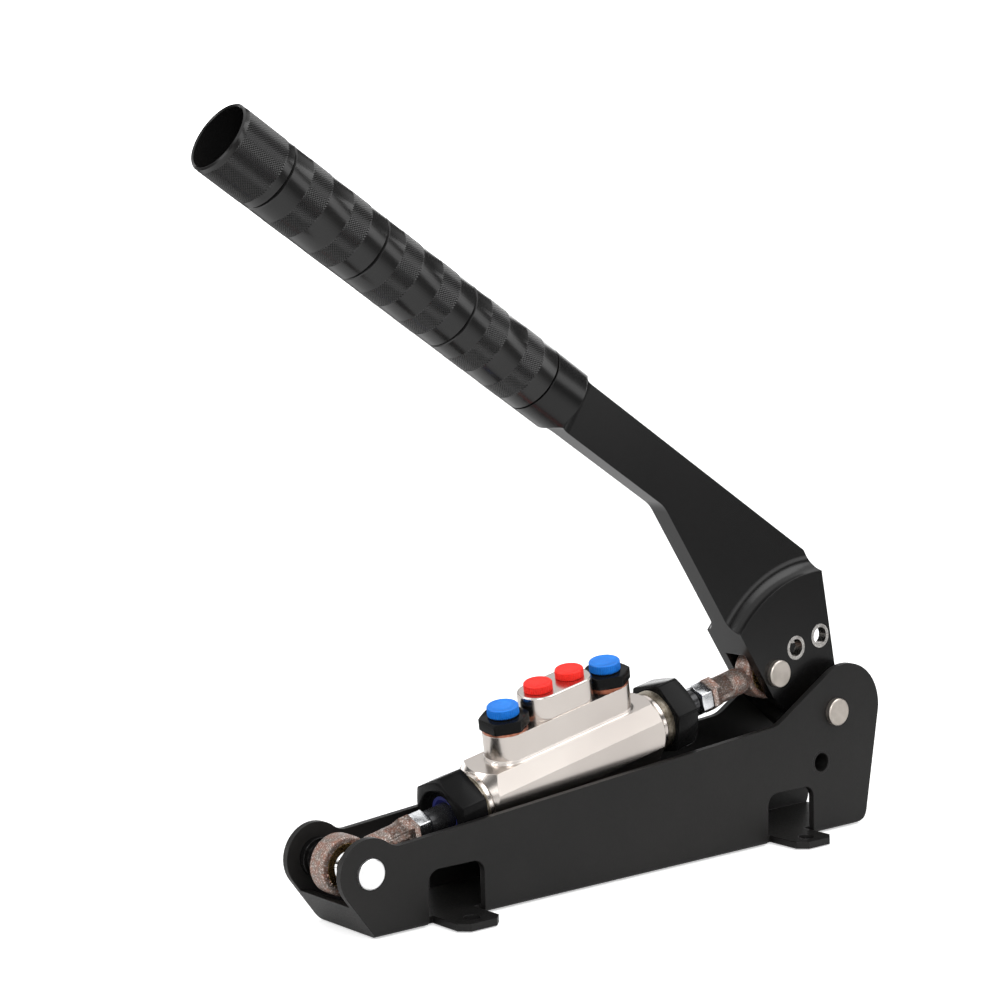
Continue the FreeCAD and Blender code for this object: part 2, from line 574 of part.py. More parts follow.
def makeRodEnd(label, point, towards):
    """Cast rod end: round head, tapering neck, round shank and hexagon, threaded inside."""
    body = newBody(label, frameAt(point, towards, nearSide))
    head = newSketch(body, "XY_Plane")
    drawCircle(head, "0", "0", "rodEndHeadRadius")
    extrude(body, "Pad", head, "rodEndHeadWidth", bothWays=True)
    finishEdges(body, "Fillet", lambda edge: edge.Curve.TypeId == "Part::GeomCircle",
                Radius="rodEndEdgeRadius")
    shankEnd = "(rodEndReach - rodEndHexLength)"
    shank = newSketch(body, "XY_Plane")
    drawOutline(shank, [("linerRadius", "0"), ("linerRadius", "rodEndHeadWidth / 2 - rodEndNeckInset"),
                        ("rodEndHeadRadius + rodEndNeckTaper", "rodEndNeckRadius"),
                        (shankEnd, "rodEndNeckRadius"), (shankEnd, "0")])
    turn(body, "Revolution", shank, "H_Axis")
    hexagon = newSketch(body, "YZ_Plane", shankEnd)
    drawOutline(hexagon, hexagonCorners("rodEndHexFlats"))
    extrude(body, "Pad", hexagon, "rodEndHexLength")
    eye = newSketch(body, "XY_Plane")
    drawCircle(eye, "0", "0", "linerRadius")
    extrude(body, "Pocket", eye, "2 * rodEndHeadWidth", bothWays=True)
    thread = newSketch(body, "YZ_Plane", "rodEndReach")
    drawCircle(thread, "0", "0", "threadRadius + runningFit")
    extrude(body, "Pocket", thread, "rodEndBoreDepth")


def makeNut(label, point, towards):
    """Lock nut against the rod end, with both faces chamfered to the hexagon's flats."""
    body = newBody(label, frameAt(point, Y, towards))
    outline = newSketch(body, "XY_Plane", "rodEndReach")
    drawOutline(outline, hexagonCorners("nutFlats"))
    drawCircle(outline, "0", "0", "threadRadius + runningFit")
    extrude(body, "Pad", outline, "nutHeight")
    chamfer = newSketch(body, "XZ_Plane")
    for seat, way in (("rodEndReach", "+"), ("(rodEndReach + nutHeight)", "-")):
        drawOutline(chamfer, [("nutFlats / 2", seat), ("nutFlats", seat),
                              ("nutFlats", f"{seat} {way} nutFlats / 2 * tan(hexChamferAngle)")])
    turn(body, "Groove", chamfer, "V_Axis")


def makeRod(name, centre, outward, reach):
    """Piston rod: threaded into the rod end, polished through the gland, its tail in the piston."""
    shoulder = "(pistonRest + pistonLength)"
    tip = f"({reach} - rodEndReach + threadEngagement)"
    threadStart = f"({reach} - rodEndReach - nutHeight)"
    turned(name + "_rod", frameAt(centre, Y, outward), [
        ("0", "pistonRest"), ("threadRadius", "pistonRest"), ("threadRadius", shoulder),
        ("rodRadius", shoulder), ("rodRadius", f"{threadStart} - rodChamfer"),
        ("threadRadius", threadStart), ("threadRadius", f"{tip} - rodChamfer"),
        ("threadRadius - rodChamfer", tip), ("0", tip)])
    outer = "(boreRadius - pistonClearance)"
    sealLow = "(pistonRest + (pistonLength - sealWidth) / 2)"
    sealHigh = f"({sealLow} + sealWidth)"
    turned(name + "_piston", frameAt(centre, Y, outward), [
        ("threadRadius", "pistonRest"), (outer, "pistonRest"), (outer, sealLow),
        (f"{outer} - sealDepth", sealLow), (f"{outer} - sealDepth", sealHigh), (outer, sealHigh),
        (outer, shoulder), ("threadRadius", shoulder)])
    turned(name + "_piston_seal", frameAt(centre, Y, outward), [
        (f"{outer} - sealDepth", sealLow), (f"{outer} - sealLip", sealLow),
        (outer, f"{sealHigh} - sealLip"), (outer, sealHigh), (f"{outer} - sealDepth", sealHigh)])


def makeSpring(name, centre, outward):
    """Return spring on the piston, at its length with the piston at the end of its travel.

    The wire runs in short straight stretches, which keeps its faces few.
    """
    start = valueOf("pistonRest + pistonLength + seatGap + springWire / 2")
    end = valueOf(guideInner + " - pistonStroke - seatGap - springWire / 2")
    radius = (size("boreRadius") + size("rodRadius")) / 2
    count = round(size("springTurns") * size("springSteps"))
    angles = [2 * math.pi * number / size("springSteps") for number in range(count + 1)]
    rise = (end - start) / count
    path = [FreeCAD.Vector(radius * math.cos(angle), radius * math.sin(angle), rise * number)
            for number, angle in enumerate(angles)]
    section = Part.Wire(Part.Circle(path[0], path[1] - path[0], size("springWire") / 2).toShape())
    mitred = 1
    spring = document.addObject("Part::Feature", name + "_return_spring")
    spring.Label = name + "_return_spring"
    spring.Shape = Part.makePolygon(path).makePipeShell([section], True, False, mitred)
    spring.Placement = frameAt(centre + outward * start, Y, outward)
    subParts.append(spring)


nutInner = "(bodyHalfLength + neckLength + exposedThread)"
guideOuter = f"({nutInner} + glandLength - glandMouthDepth - wiperHeight)"
guideInner = f"({guideOuter} - guideLength)"


def makeCylinder():
    body = newBody("cylinder_body", frameAt(bodyCentre, boreAxis, towerUp))
    # eight flats, then a turned shoulder, ring and thread at each end
    section = newSketch(body, "YZ_Plane")
    upper = [("bodyWidth / 2", "bodySideHeight / 2"), ("bodyTopWidth / 2", "bodyHeight / 2"),
             ("-bodyTopWidth / 2", "bodyHeight / 2"), ("-bodyWidth / 2", "bodySideHeight / 2")]
    lower = [(y, "-" + z) for y, z in reversed(upper)]
    drawOutline(section, upper + lower)
    extrude(body, "Pad", section, "2 * bodyHalfLength", bothWays=True)
    shoulders = newSketch(body, "XY_Plane")
    wide = "(bodyShoulderRadius + bodyShoulderLength)"
    for end in ("-", ""):
        drawOutline(shoulders, [(f"{end}(bodyHalfLength - bodyShoulderLength)", wide),
                                (f"{end}bodyHalfLength", "bodyShoulderRadius"),
                                (f"{end}bodyHalfLength", wide)])
    turn(body, "Groove", shoulders, "H_Axis")
    threadEnd = f"({nutInner} + glandThreadDepth)"
    ends = newSketch(body, "XY_Plane")
    for end in ("-", ""):
        drawOutline(ends, [(f"{end}(bodyHalfLength - neckLength)", "0"),
                           (f"{end}(bodyHalfLength - neckLength)", "neckRadius"),
                           (f"{end}(bodyHalfLength + neckLength)", "neckRadius"),
                           (f"{end}(bodyHalfLength + neckLength)", "maleThreadRadius"),
                           (f"{end}{threadEnd}", "maleThreadRadius"), (f"{end}{threadEnd}", "0")])
    turn(body, "Revolution", ends, "H_Axis")
    # tower: a long low boss with round ends, and the block of the outlets on its middle
    for spacing, radius, height in (("inletSpacing", "towerRadius", "inletSeatHeight"),
                                    ("outletSpacing", "blockRadius", "outletSeatHeight")):
        outline = newSketch(body, "XY_Plane")
        drawOutline(outline, [(f"-{spacing} / 2", f"-{radius}"), (f"{spacing} / 2", f"-{radius}"),
                              (f"{spacing} / 2", radius), (f"-{spacing} / 2", radius)])
        extrude(body, "Pad", outline, height)
        for end in ("-", ""):
            nose = newSketch(body, "XY_Plane")
            drawCircle(nose, f"{end}{spacing} / 2", "0", radius)
            extrude(body, "Pad", nose, height)

    def onTop(edge):
        return edge.BoundBox.ZMin > size("outletSeatHeight") - edgeReach

    finishEdges(body, "Fillet", onTop, Radius="blockEdgeRadius")
    # ports, their drillings and the two bores
    seats = [(f"{end}{spacing} / 2", seat, radius, depth) for spacing, seat, radius, depth in (
        ("inletSpacing", "inletSeatHeight", "inletPortRadius", "inletPortDepth"),
        ("outletSpacing", "outletSeatHeight", "outletPortRadius", "outletPortDepth"))
        for end in ("-", "")]
    for x, seat, radius, depth in seats:
        port = newSketch(body, "XY_Plane", seat)
        drawCircle(port, x, "0", radius)
        extrude(body, "Pocket", port, depth)
    for x, seat, radius, depth in seats[:2]:
        drilling = newSketch(body, "XY_Plane", seat)
        drawCircle(drilling, x, "0", "inletDrillRadius")
        extrude(body, "Pocket", drilling, f"{seat} - boreRadius / 2")
    bores = newSketch(body, "XY_Plane")
    for end in ("-", ""):
        drawOutline(bores, [(f"{end}webHalf", "0"), (f"{end}webHalf", "boreRadius"),
                            (f"{end}({threadEnd} + cutMargin)", "boreRadius"),
                            (f"{end}({threadEnd} + cutMargin)", "0")])
    turn(body, "Groove", bores, "H_Axis")


def makeGland(name, outward, turnAngle):
    """Hexagonal gland nut with its lipped mouth, the rod guide it holds and the rod wiper."""
    place = frameAt(bodyCentre, Y, outward)
    nut = newBody(name + "_gland_nut", place)
    outline = newSketch(nut, "XY_Plane", nutInner)
    drawOutline(outline, hexagonCorners("glandFlats", turnAngle))
    extrude(nut, "Pad", outline, "glandLength")
    outer = f"({nutInner} + glandLength)"
    corner = "(glandFlats / sqrt(3))"
    hollow = newSketch(nut, "XZ_Plane")
    drawOutline(hollow, [("0", f"{nutInner} - cutMargin"),
                         ("maleThreadRadius + runningFit", f"{nutInner} - cutMargin"),
                         ("maleThreadRadius + runningFit", f"{nutInner} + glandThreadDepth"),
                         ("glandBoreRadius", f"{nutInner} + glandThreadDepth"),
                         ("glandBoreRadius", f"{outer} - glandMouthDepth"),
                         ("glandMouthRadius", f"{outer} - glandMouthDepth"),
                         ("glandMouthRadius", f"{outer} + cutMargin"), ("0", f"{outer} + cutMargin")])
    drawOutline(hollow, [(f"{corner} - 2 * glandChamfer", outer), (f"{corner} + cutMargin", outer),
                         (f"{corner} + cutMargin", f"{outer} - glandChamfer"),
                         (corner, f"{outer} - glandChamfer")])
    turn(nut, "Groove", hollow, "V_Axis")
    guideStep = f"({nutInner} + glandThreadDepth)"
    turned(name + "_rod_guide", place, [
        ("rodRadius + runningFit", guideInner), ("boreRadius - runningFit", guideInner),
        ("boreRadius - runningFit", guideStep), ("glandBoreRadius - runningFit", guideStep),
        ("glandBoreRadius - runningFit", guideOuter), ("rodRadius + runningFit", guideOuter)])
    turned(name + "_rod_wiper", place, [
        ("rodRadius + runningFit", guideOuter), ("glandBoreRadius - runningFit", guideOuter),
        ("glandBoreRadius - runningFit", f"{guideOuter} + wiperHeight"),
        ("rodRadius + wiperLipWidth", f"{guideOuter} + wiperHeight"),
        ("rodRadius + runningFit", f"{guideOuter} + wiperHeight - wiperLipHeight")])


def makeInlet(name, station):
    """Hexagonal inlet adaptor on a copper washer, closed by a push-on cap."""
    seat = bodyCentre + boreAxis * valueOf(station) + towerUp * size("inletSeatHeight")
    place = frameAt(seat, boreAxis, towerUp)
    ring(name + "_inlet_washer", place, "inletPortRadius", "washerRadius", "0", "washerThickness")
    adaptor = newBody(name + "_inlet_adaptor", place)
    hexagon = newSketch(adaptor, "XY_Plane", "washerThickness")
    drawOutline(hexagon, hexagonCorners("adaptorFlats", "30"))
    extrude(adaptor, "Pad", hexagon, "adaptorHeight")
    hexTop = "(washerThickness + adaptorHeight)"
    neckTop = f"({hexTop} + adaptorNeckHeight)"
    nippleTop = f"({neckTop} + adaptorNippleHeight)"
    threadLow = "(inletPortRunout - inletPortDepth)"
    stem = newSketch(adaptor, "XZ_Plane")
    drawOutline(stem, [("0", threadLow), ("inletPortRadius - runningFit", threadLow),
                       ("inletPortRadius - runningFit", neckTop), ("adaptorNippleRadius", neckTop),
                       ("adaptorNippleRadius", nippleTop), ("0", nippleTop)])
    turn(adaptor, "Revolution", stem, "V_Axis")
    chamfer = newSketch(adaptor, "XZ_Plane")
    drawOutline(chamfer, [("adaptorFlats / 2", hexTop), ("adaptorFlats", hexTop),
                          ("adaptorFlats", f"{hexTop} - adaptorFlats / 2 * tan(hexChamferAngle)")])
    turn(adaptor, "Groove", chamfer, "V_Axis")
    bore = newSketch(adaptor, "XY_Plane", nippleTop)
    drawCircle(bore, "0", "0", "adaptorBoreRadius")
    extrude(adaptor, "Pocket", bore, "2 * inletPortDepth + adaptorHeight + adaptorNeckHeight")
    roof = f"({nippleTop} + seatGap)"
    capTop = f"({neckTop} + inletCapHeight)"
    turned(name + "_inlet_cap", place, [
        ("adaptorNippleRadius + runningFit", neckTop), ("inletCapRadius", neckTop),
        ("inletCapRadius", f"{capTop} - capEdge"), ("inletCapRadius - capEdge", capTop), ("0", capTop),
        ("0", roof), ("adaptorNippleRadius + runningFit", roof)])


def makeOutletCap(name, station):
    """Push-in cap: a low head on the block and a hollow plug in the port."""
    seat = bodyCentre + boreAxis * valueOf(station) + towerUp * size("outletSeatHeight")
    plug = "(outletPortRadius - runningFit)"
    roof = "(outletCapHeight - capWall)"
    turned(name + "_outlet_cap", frameAt(seat, boreAxis, towerUp), [
        ("0", "outletCapHeight"), ("0", roof), (f"{plug} - capWall", roof),
        (f"{plug} - capWall", "-outletPlugLength"), (plug, "-outletPlugLength"), (plug, "0"),
        ("outletCapRadius", "0"), ("outletCapRadius", "outletCapHeight - capEdge"),
        ("outletCapRadius - capEdge", "outletCapHeight")])


def makeLever():
    body = newBody("lever_arm", frameAt(pivotPin, gripAxis, gripUp))
    lowEdge = "(gripOffset - barHeight / 2)"
    highEdge = "(gripOffset + barHeight / 2)"
    frontZ = f"({lowEdge} - (elbowAhead - bossFrontAhead) * tan(frontEdgeLean))"
    barStart = "(-collarStart + collarSideFoot - collarCutRadius)"
    # the end of the boss: tangents from its two corners to the round about the pivot
    frontReach = math.hypot(size("bossFrontAhead"), valueOf(frontZ))
    frontTurn = math.degrees(math.atan2(valueOf(frontZ), -size("bossFrontAhead")))
    frontTouch = frontTurn + math.degrees(math.acos(size("bossEndRadius") / frontReach))
    rearReach = math.hypot(size("bossShoulderAhead"), size("bossShoulderHeight"))
    rearTurn = math.degrees(math.atan2(size("bossShoulderHeight"), -size("bossShoulderAhead")))
    rearTouch = rearTurn - math.degrees(math.acos(size("bossEndRadius") / rearReach))
    side = newSketch(body, "XZ_Plane")
    drawOutline(side, [
        (barStart, lowEdge), ("-elbowAhead", lowEdge), ("-bossFrontAhead", frontZ),
        (f"bossEndRadius * cos({frontTouch})", f"bossEndRadius * sin({frontTouch})"), ("0", "0"),
        (f"bossEndRadius * cos({rearTouch})", f"bossEndRadius * sin({rearTouch})"),
        ("-bossShoulderAhead", "bossShoulderHeight"), ("-bossTopAhead", highEdge), (barStart, highEdge)])
    extrude(body, "Pad", side, "bossWidth", bothWays=True)
    end = newSketch(body, "XZ_Plane")
    drawCircle(end, "0", "0", "bossEndRadius")
    extrude(body, "Pad", end, "bossWidth", bothWays=True)

    def elbow(edge):
        centre = edge.BoundBox.Center
        below = centre.z < size("gripOffset")
        return alongLine(edge, Y) and below and abs(centre.x + size("elbowAhead")) < edgeReach

    finishEdges(body, "Fillet", elbow, Radius="elbowRadius")
    # cove milled on both faces down to the thickness of the bar
    step = "((bossWidth - barWidth) / 2)"
    coveRadius = f"((coveWidth * coveWidth + {step} * {step}) / 2 / {step})"
    cove = newSketch(body, "XY_Plane")
    for hand, side in (("", ()), ("-", ("right",))):
        drawOutline(cove, [
            ("-coveInnerRadius", f"{hand}bossWidth / 2"),
            ("-coveInnerRadius", f"{hand}bossWidth"), ("-2 * collarStart", f"{hand}bossWidth"),
            ("-2 * collarStart", f"{hand}barWidth / 2"),
            ("-coveInnerRadius - coveWidth", f"{hand}barWidth / 2", coveRadius) + side])
    turn(body, "Groove", cove, "V_Axis")
    # fork slot, round about the pivot
    slot = newSketch(body, "XZ_Plane")
    drawCircle(slot, "0", "0", "slotReach")
    extrude(body, "Pocket", slot, "slotWidth", bothWays=True)
    holes = newSketch(body, "XZ_Plane")
    drawCircle(holes, "0", "0", "pivotBushRadius")
    for number in range(3):
        angle = f"(pinHoleAngle - {number} * pinHoleStep + leverLean)"
        drawCircle(holes, f"leverageRadius * cos({angle})", f"leverageRadius * sin({angle})", "bushRadius")
    extrude(body, "Pocket", holes, "2 * bossWidth", bothWays=True)
    # round collar and the spigot inside the grip
    collar = newSketch(body, "XY_Plane", "gripOffset")
    spigotEnd = "(-collarStart - spigotLength)"
    stockEnd = "(-collarStart + collarSideFoot)"
    drawOutline(collar, [(spigotEnd, "0"), (spigotEnd, "gripBoreRadius - runningFit"),
                         ("-collarStart", "gripBoreRadius - runningFit"), ("-collarStart", "gripRadius"),
                         (stockEnd, "gripRadius"), (stockEnd, "0")])
    turn(body, "Revolution", collar, "H_Axis")
    # a round cutter takes the collar down to the flat bar on both sides, above and below
    cutEnd = f"({stockEnd} + gripRadius)"
    outside = "(gripRadius + cutMargin)"
    sides = newSketch(body, "XY_Plane", "gripOffset")
    for hand, side in (("", ()), ("-", ("right",))):
        drawOutline(sides, [
            (barStart, f"{hand}(barWidth / 2 + collarCutRadius)", "collarCutRadius") + side,
            (stockEnd, f"{hand}barWidth / 2"), (cutEnd, f"{hand}barWidth / 2"),
            (cutEnd, f"{hand}2 * gripRadius"), (barStart, f"{hand}2 * gripRadius")])
    extrude(body, "Pocket", sides, f"2 * {outside}", bothWays=True)
    depth = f"({outside} - barHeight / 2)"
    cutRun = f"sqrt(2 * collarCutRadius * {depth} - {depth} * {depth})"
    levels = newSketch(body, "XZ_Plane")
    for hand, foot, side in (("+", "collarTopFoot", ()), ("-", "collarLowFoot", ("right",))):
        drawOutline(levels, [
            (f"-collarStart + {foot} - {cutRun}", f"gripOffset {hand} {outside}", "collarCutRadius") + side,
            (f"-collarStart + {foot}", f"gripOffset {hand} barHeight / 2"),
            (cutEnd, f"gripOffset {hand} barHeight / 2"), (cutEnd, f"gripOffset {hand} 2 * gripRadius"),
            (f"-collarStart + {foot} - {cutRun}", f"gripOffset {hand} 2 * gripRadius")])
    extrude(body, "Pocket", levels, f"2 * {outside}", bothWays=True)


def makeGrip():
    """Grip tube: thin-walled at its open end, with three turned grooves."""
    place = frameAt(pivotPin + gripUp * size("gripOffset") - gripAxis * size("collarStart"), Y, gripAxis)
    length = "(gripEndLength + 3 * gripPitch)"
    grip = turned("grip_tube", place, [
        ("gripBoreRadius", f"-{length} + gripMouthDepth"),
        ("gripMouthRadius", f"-{length} + gripMouthDepth"), ("gripMouthRadius", f"-{length}"),
        ("gripRadius - gripRimChamfer", f"-{length}"),
        ("gripRadius", f"-{length} + gripRimChamfer"),
        ("gripRadius", "-grooveDepth"), ("gripRadius - grooveDepth", "0"), ("gripBoreRadius", "0")])
    grooves = newSketch(grip, "XZ_Plane")
    above = "(gripRadius + cutMargin)"
    halfMouth = "(grooveWidth / 2 * (1 + cutMargin / grooveDepth))"
    for number in range(3):
        middle = f"-(3 - {number}) * gripPitch"
        drawOutline(grooves, [("gripRadius - grooveDepth", middle),
                              (above, f"{middle} - {halfMouth}"), (above, f"{middle} + {halfMouth}")])
    turn(grip, "Groove", grooves, "V_Axis")


def makeLeverFittings():
    cheek = "(bossWidth / 2)"
    slotSide = "(slotWidth / 2)"
    names = ("lower", "middle", "upper")
    for number, name in enumerate(names):
        angle = math.radians(size("pinHoleAngle") - number * size("pinHoleStep"))
        point = pivotPin + FreeCAD.Vector(math.cos(angle), 0, math.sin(angle)) * size("leverageRadius")
        bushes = newBody(name + "_fork_bushes", onPin(point))
        profile = newSketch(bushes, "XZ_Plane")
        drawOutline(profile, [("pinRadius", slotSide), ("bushRadius", slotSide), ("bushRadius", cheek),
                              ("pinRadius", cheek)])
        drawOutline(profile, [("pinRadius", f"-{slotSide}"), ("bushRadius", f"-{slotSide}"),
                              ("bushRadius", f"-{cheek}"), ("pinRadius", f"-{cheek}")])
        turn(bushes, "Revolution", profile, "V_Axis")
    flange = f"({halfInside} - 2 * seatGap)"
    bushes = newBody("pivot_bushes", onPin(pivotPin))
    profile = newSketch(bushes, "XZ_Plane")
    for hand in ("", "-"):
        drawOutline(profile, [("pinRadius", hand + slotSide), ("pivotBushRadius", hand + slotSide),
                              ("pivotBushRadius", hand + cheek), ("pivotFlangeRadius", hand + cheek),
                              ("pivotFlangeRadius", hand + flange), ("pinRadius", hand + flange)])
    turn(bushes, "Revolution", profile, "V_Axis")
    ring("pivot_spacer", onPin(pivotPin), "pinRadius", "pivotSpacerRadius", f"-{slotSide}", slotSide)
    makePin("lever_pin", leverPin, cheek, "pinHeadHeight")
    makeBall("rear_ball", leverPin)


makeBase()
tubeCentre = FreeCAD.Vector(pivotPin.x - size("tubeSetback"), 0, size("tubeHeight"))
ring("side_tube", onPin(tubeCentre), "tubeBoreRadius", "tubeRadius", "-channelWidth / 2", "channelWidth / 2")
makePin("front_pin", frontPin, "(channelWidth / 2)", "frontHeadHeight")
makePin("pivot_pin", pivotPin, "(channelWidth / 2)", "pinHeadHeight")
makeBall("front_ball", frontPin)
ring("front_spacer_near", onPin(frontPin), "pinRadius", "spacerRadius", "ballWidth / 2", halfInside)
turned("front_spacer_far", onPin(frontPin), [
    ("pinRadius", "-" + halfInside), ("spacerFlangeRadius", "-" + halfInside),
    ("spacerFlangeRadius", f"-{halfInside} + spacerFlangeHeight"),
    ("spacerRadius", f"-{halfInside} + spacerFlangeHeight"),
    ("spacerRadius", "-ballWidth / 2"), ("pinRadius", "-ballWidth / 2")])

makeLever()
makeGrip()
makeLeverFittings()

makeCylinder()
for name, outward, pin, glandTurn, clearance in (
        ("front", boreAxis.negative(), frontPin, "frontGlandTurn", "runningFit"),
        ("rear", boreAxis, leverPin, "rearGlandTurn", "openPivotGap")):
    makeGland(name, outward, glandTurn)
    makeRod(name, bodyCentre, outward, bodyCentre.distanceToPoint(pin))
    makeSpring(name, bodyCentre, outward)
    makeRodEnd(name + "_rod_end", pin, outward.negative())
    makeLiner(name + "_rod_end_liner", pin, clearance)
    makeNut(name + "_lock_nut", pin, outward.negative())
for name, end in (("front", "-"), ("rear", "")):
    makeInlet(name, end + "inletSpacing / 2")
    makeOutletCap(name, end + "outletSpacing / 2")

document.recompute()
for item in document.Objects:
    if "Invalid" in item.State or "Error" in item.State:
        raise RuntimeError(f"{item.Name} is {item.State}")
os.makedirs("parts", exist_ok=True)
for part in subParts:
    if part.Shape.isNull() or not part.Shape.isValid():
        raise RuntimeError(part.Label + " has no valid shape")
    part.Shape.exportStep(f"parts/{part.Label}.step")
    print(part.Label, len(part.Shape.Solids), round(part.Shape.Volume, 1))
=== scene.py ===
# Hydraulic parking brake lever on its folded base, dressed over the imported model.
import bpy
import bmesh
import math
from mathutils import Matrix, Vector


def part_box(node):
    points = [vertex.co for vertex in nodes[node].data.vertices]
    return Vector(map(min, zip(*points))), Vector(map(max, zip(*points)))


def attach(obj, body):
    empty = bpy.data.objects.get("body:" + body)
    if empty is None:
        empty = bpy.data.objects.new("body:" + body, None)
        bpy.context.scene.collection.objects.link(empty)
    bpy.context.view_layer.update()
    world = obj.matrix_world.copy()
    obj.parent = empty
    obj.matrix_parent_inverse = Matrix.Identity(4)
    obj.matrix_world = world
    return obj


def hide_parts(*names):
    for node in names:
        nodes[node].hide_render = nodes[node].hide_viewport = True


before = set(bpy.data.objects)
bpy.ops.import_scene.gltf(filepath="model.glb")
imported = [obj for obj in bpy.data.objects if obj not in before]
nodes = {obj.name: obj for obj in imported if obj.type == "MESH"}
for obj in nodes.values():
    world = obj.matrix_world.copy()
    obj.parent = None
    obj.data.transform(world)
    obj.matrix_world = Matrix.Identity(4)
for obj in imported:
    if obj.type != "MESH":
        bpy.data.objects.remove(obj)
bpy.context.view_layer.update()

mm = 0.001


# Where things are, read from the frame

def middleOf(node):
    low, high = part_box(node)
    return (low + high) / 2


cylinderPlace = {"shift": -1.0 * mm, "roll": 7.1}
gripPlace = {"lean": 33.75, "offset": 46.9 * mm, "start": 219.8 * mm}

frontPin = middleOf("front_ball")
leverPin = middleOf("rear_ball")
pivotPin = middleOf("pivot_spacer")
nearSide = Vector((0, -1, 0))
boreAxis = (leverPin - frontPin).normalized()
boreUp = boreAxis.cross(-nearSide)
roll = math.radians(cylinderPlace["roll"])
towerUp = boreUp * math.cos(roll) + nearSide * math.sin(roll)
bodyCentre = (frontPin + leverPin) / 2 + boreAxis * cylinderPlace["shift"]
lean = math.radians(gripPlace["lean"])
gripAxis = Vector((math.cos(lean), 0, -math.sin(lean)))
gripUp = Vector((math.sin(lean), 0, math.cos(lean)))
gripStart = pivotPin + gripUp * gripPlace["offset"] - gripAxis * gripPlace["start"]


# Small tools for modelling

samePoint = 1e-7
weldReach = 1e-6


def clearSelection():
    if bpy.context.object and bpy.context.object.mode != "OBJECT":
        bpy.ops.object.mode_set(mode="OBJECT")
    bpy.ops.object.select_all(action="DESELECT")


def takeUp(piece):
    clearSelection()
    piece.select_set(True)
    bpy.context.view_layer.objects.active = piece


def editPiece(piece):
    takeUp(piece)
    bpy.ops.object.mode_set(mode="EDIT")
    bpy.ops.mesh.select_mode(type="VERT")
    bpy.ops.mesh.select_all(action="DESELECT")


def selectPoints(piece, wanted):
    # picks the points for which wanted(place) is true, in edit mode
    shape = bmesh.from_edit_mesh(piece.data)
    for point in shape.verts:
        point.select_set(bool(wanted(point.co)))
    shape.select_flush_mode()
    bmesh.update_edit_mesh(piece.data)


def selectEdges(piece, wanted):
    shape = bmesh.from_edit_mesh(piece.data)
    for edge in shape.edges:
        edge.select_set(bool(wanted(edge)))
    bmesh.update_edit_mesh(piece.data)


def leaveEdit():
    bpy.ops.object.mode_set(mode="OBJECT")


def latheShape(name, sides, profile, closed=True):
    # a ring that is extruded and scaled along the profile of (radius, height)
    clearSelection()
    firstRadius, firstHeight = profile[0]
    radius, height = profile[0]
    bpy.ops.mesh.primitive_circle_add(vertices=sides, radius=radius, fill_type="NOTHING",
                                      location=(0, 0, 0))
    piece = bpy.context.object
    piece.name = name
    bpy.ops.object.mode_set(mode="EDIT")
    bpy.ops.mesh.select_all(action="SELECT")
    bpy.ops.transform.translate(value=(0, 0, height))
    for nextRadius, nextHeight in profile[1:]:
        rise = {"value": (0, 0, nextHeight - height)}
        bpy.ops.mesh.extrude_edges_move(TRANSFORM_OT_translate=rise)
        grow = nextRadius / radius
        bpy.ops.transform.resize(value=(grow, grow, 1), center_override=(0, 0, nextHeight))
        radius, height = nextRadius, nextHeight
    if not closed:
        bpy.ops.mesh.edge_face_add()
        selectPoints(piece, lambda place: abs(place.z - firstHeight) < samePoint
                     and abs(math.hypot(place.x, place.y) - firstRadius) < samePoint)
        bpy.ops.mesh.edge_face_add()
    bpy.ops.mesh.select_all(action="SELECT")
    bpy.ops.mesh.remove_doubles(threshold=weldReach)
    bpy.ops.mesh.normals_make_consistent(inside=False)
    leaveEdit()
    return piece


def combine(piece, tool, how):
    takeUp(piece)
    cut = piece.modifiers.new("cut", "BOOLEAN")
    cut.operation = how
    cut.solver = "EXACT"
    cut.object = tool
    bpy.ops.object.modifier_apply(modifier="cut")
    bpy.data.objects.remove(tool)


def roundEdges(piece, width, segments, angle):
    takeUp(piece)
    soft = piece.modifiers.new("soft", "BEVEL")
    soft.width = width
    soft.segments = segments
    soft.limit_method = "ANGLE"
    soft.angle_limit = math.radians(angle)
    bpy.ops.object.modifier_apply(modifier="soft")


def smoothBy(piece, angle):
    takeUp(piece)
    bpy.ops.object.shade_smooth_by_angle(angle=math.radians(angle))


def settle(piece, origin, xAxis, zAxis):
    # moves a finished piece from its own axes to its place, and leaves its object at the origin
    yAxis = zAxis.cross(xAxis)
    turn = Matrix((xAxis, yAxis, zAxis)).transposed().to_4x4()
    piece.matrix_world = Matrix.Translation(origin) @ turn
    takeUp(piece)
    bpy.ops.object.transform_apply(location=True, rotation=True, scale=True)


def dress(piece, body, material, replaced=None):
    piece.data.materials.clear()
    piece.data.materials.append(material)
    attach(piece, body)
    if replaced:
        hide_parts(replaced)


# Finishes

black, white = (0.0, 0.0, 0.0), (1.0, 1.0, 1.0)
patchSpan = (0.35, 0.65)
noiseSpan = (0.3, 0.7)
detail = {"patches": 4, "turnedPatches": 3, "grain": 2, "dents": 4}
edgeSamples = 6


def startFinish(name, look):
    finish = bpy.data.materials.new(name)
    finish.use_nodes = True
    tree = finish.node_tree
    shader = tree.nodes["Principled BSDF"]
    shader.inputs["Metallic"].default_value = look.get("metal", 0)
    shader.inputs["Specular IOR Level"].default_value = look.get("specular", 0.5)
    place = tree.nodes.new("ShaderNodeTexCoord")
    mapping = tree.nodes.new("ShaderNodeMapping")
    tree.links.new(place.outputs["Object"], mapping.inputs["Vector"])
    return finish, tree, shader, mapping


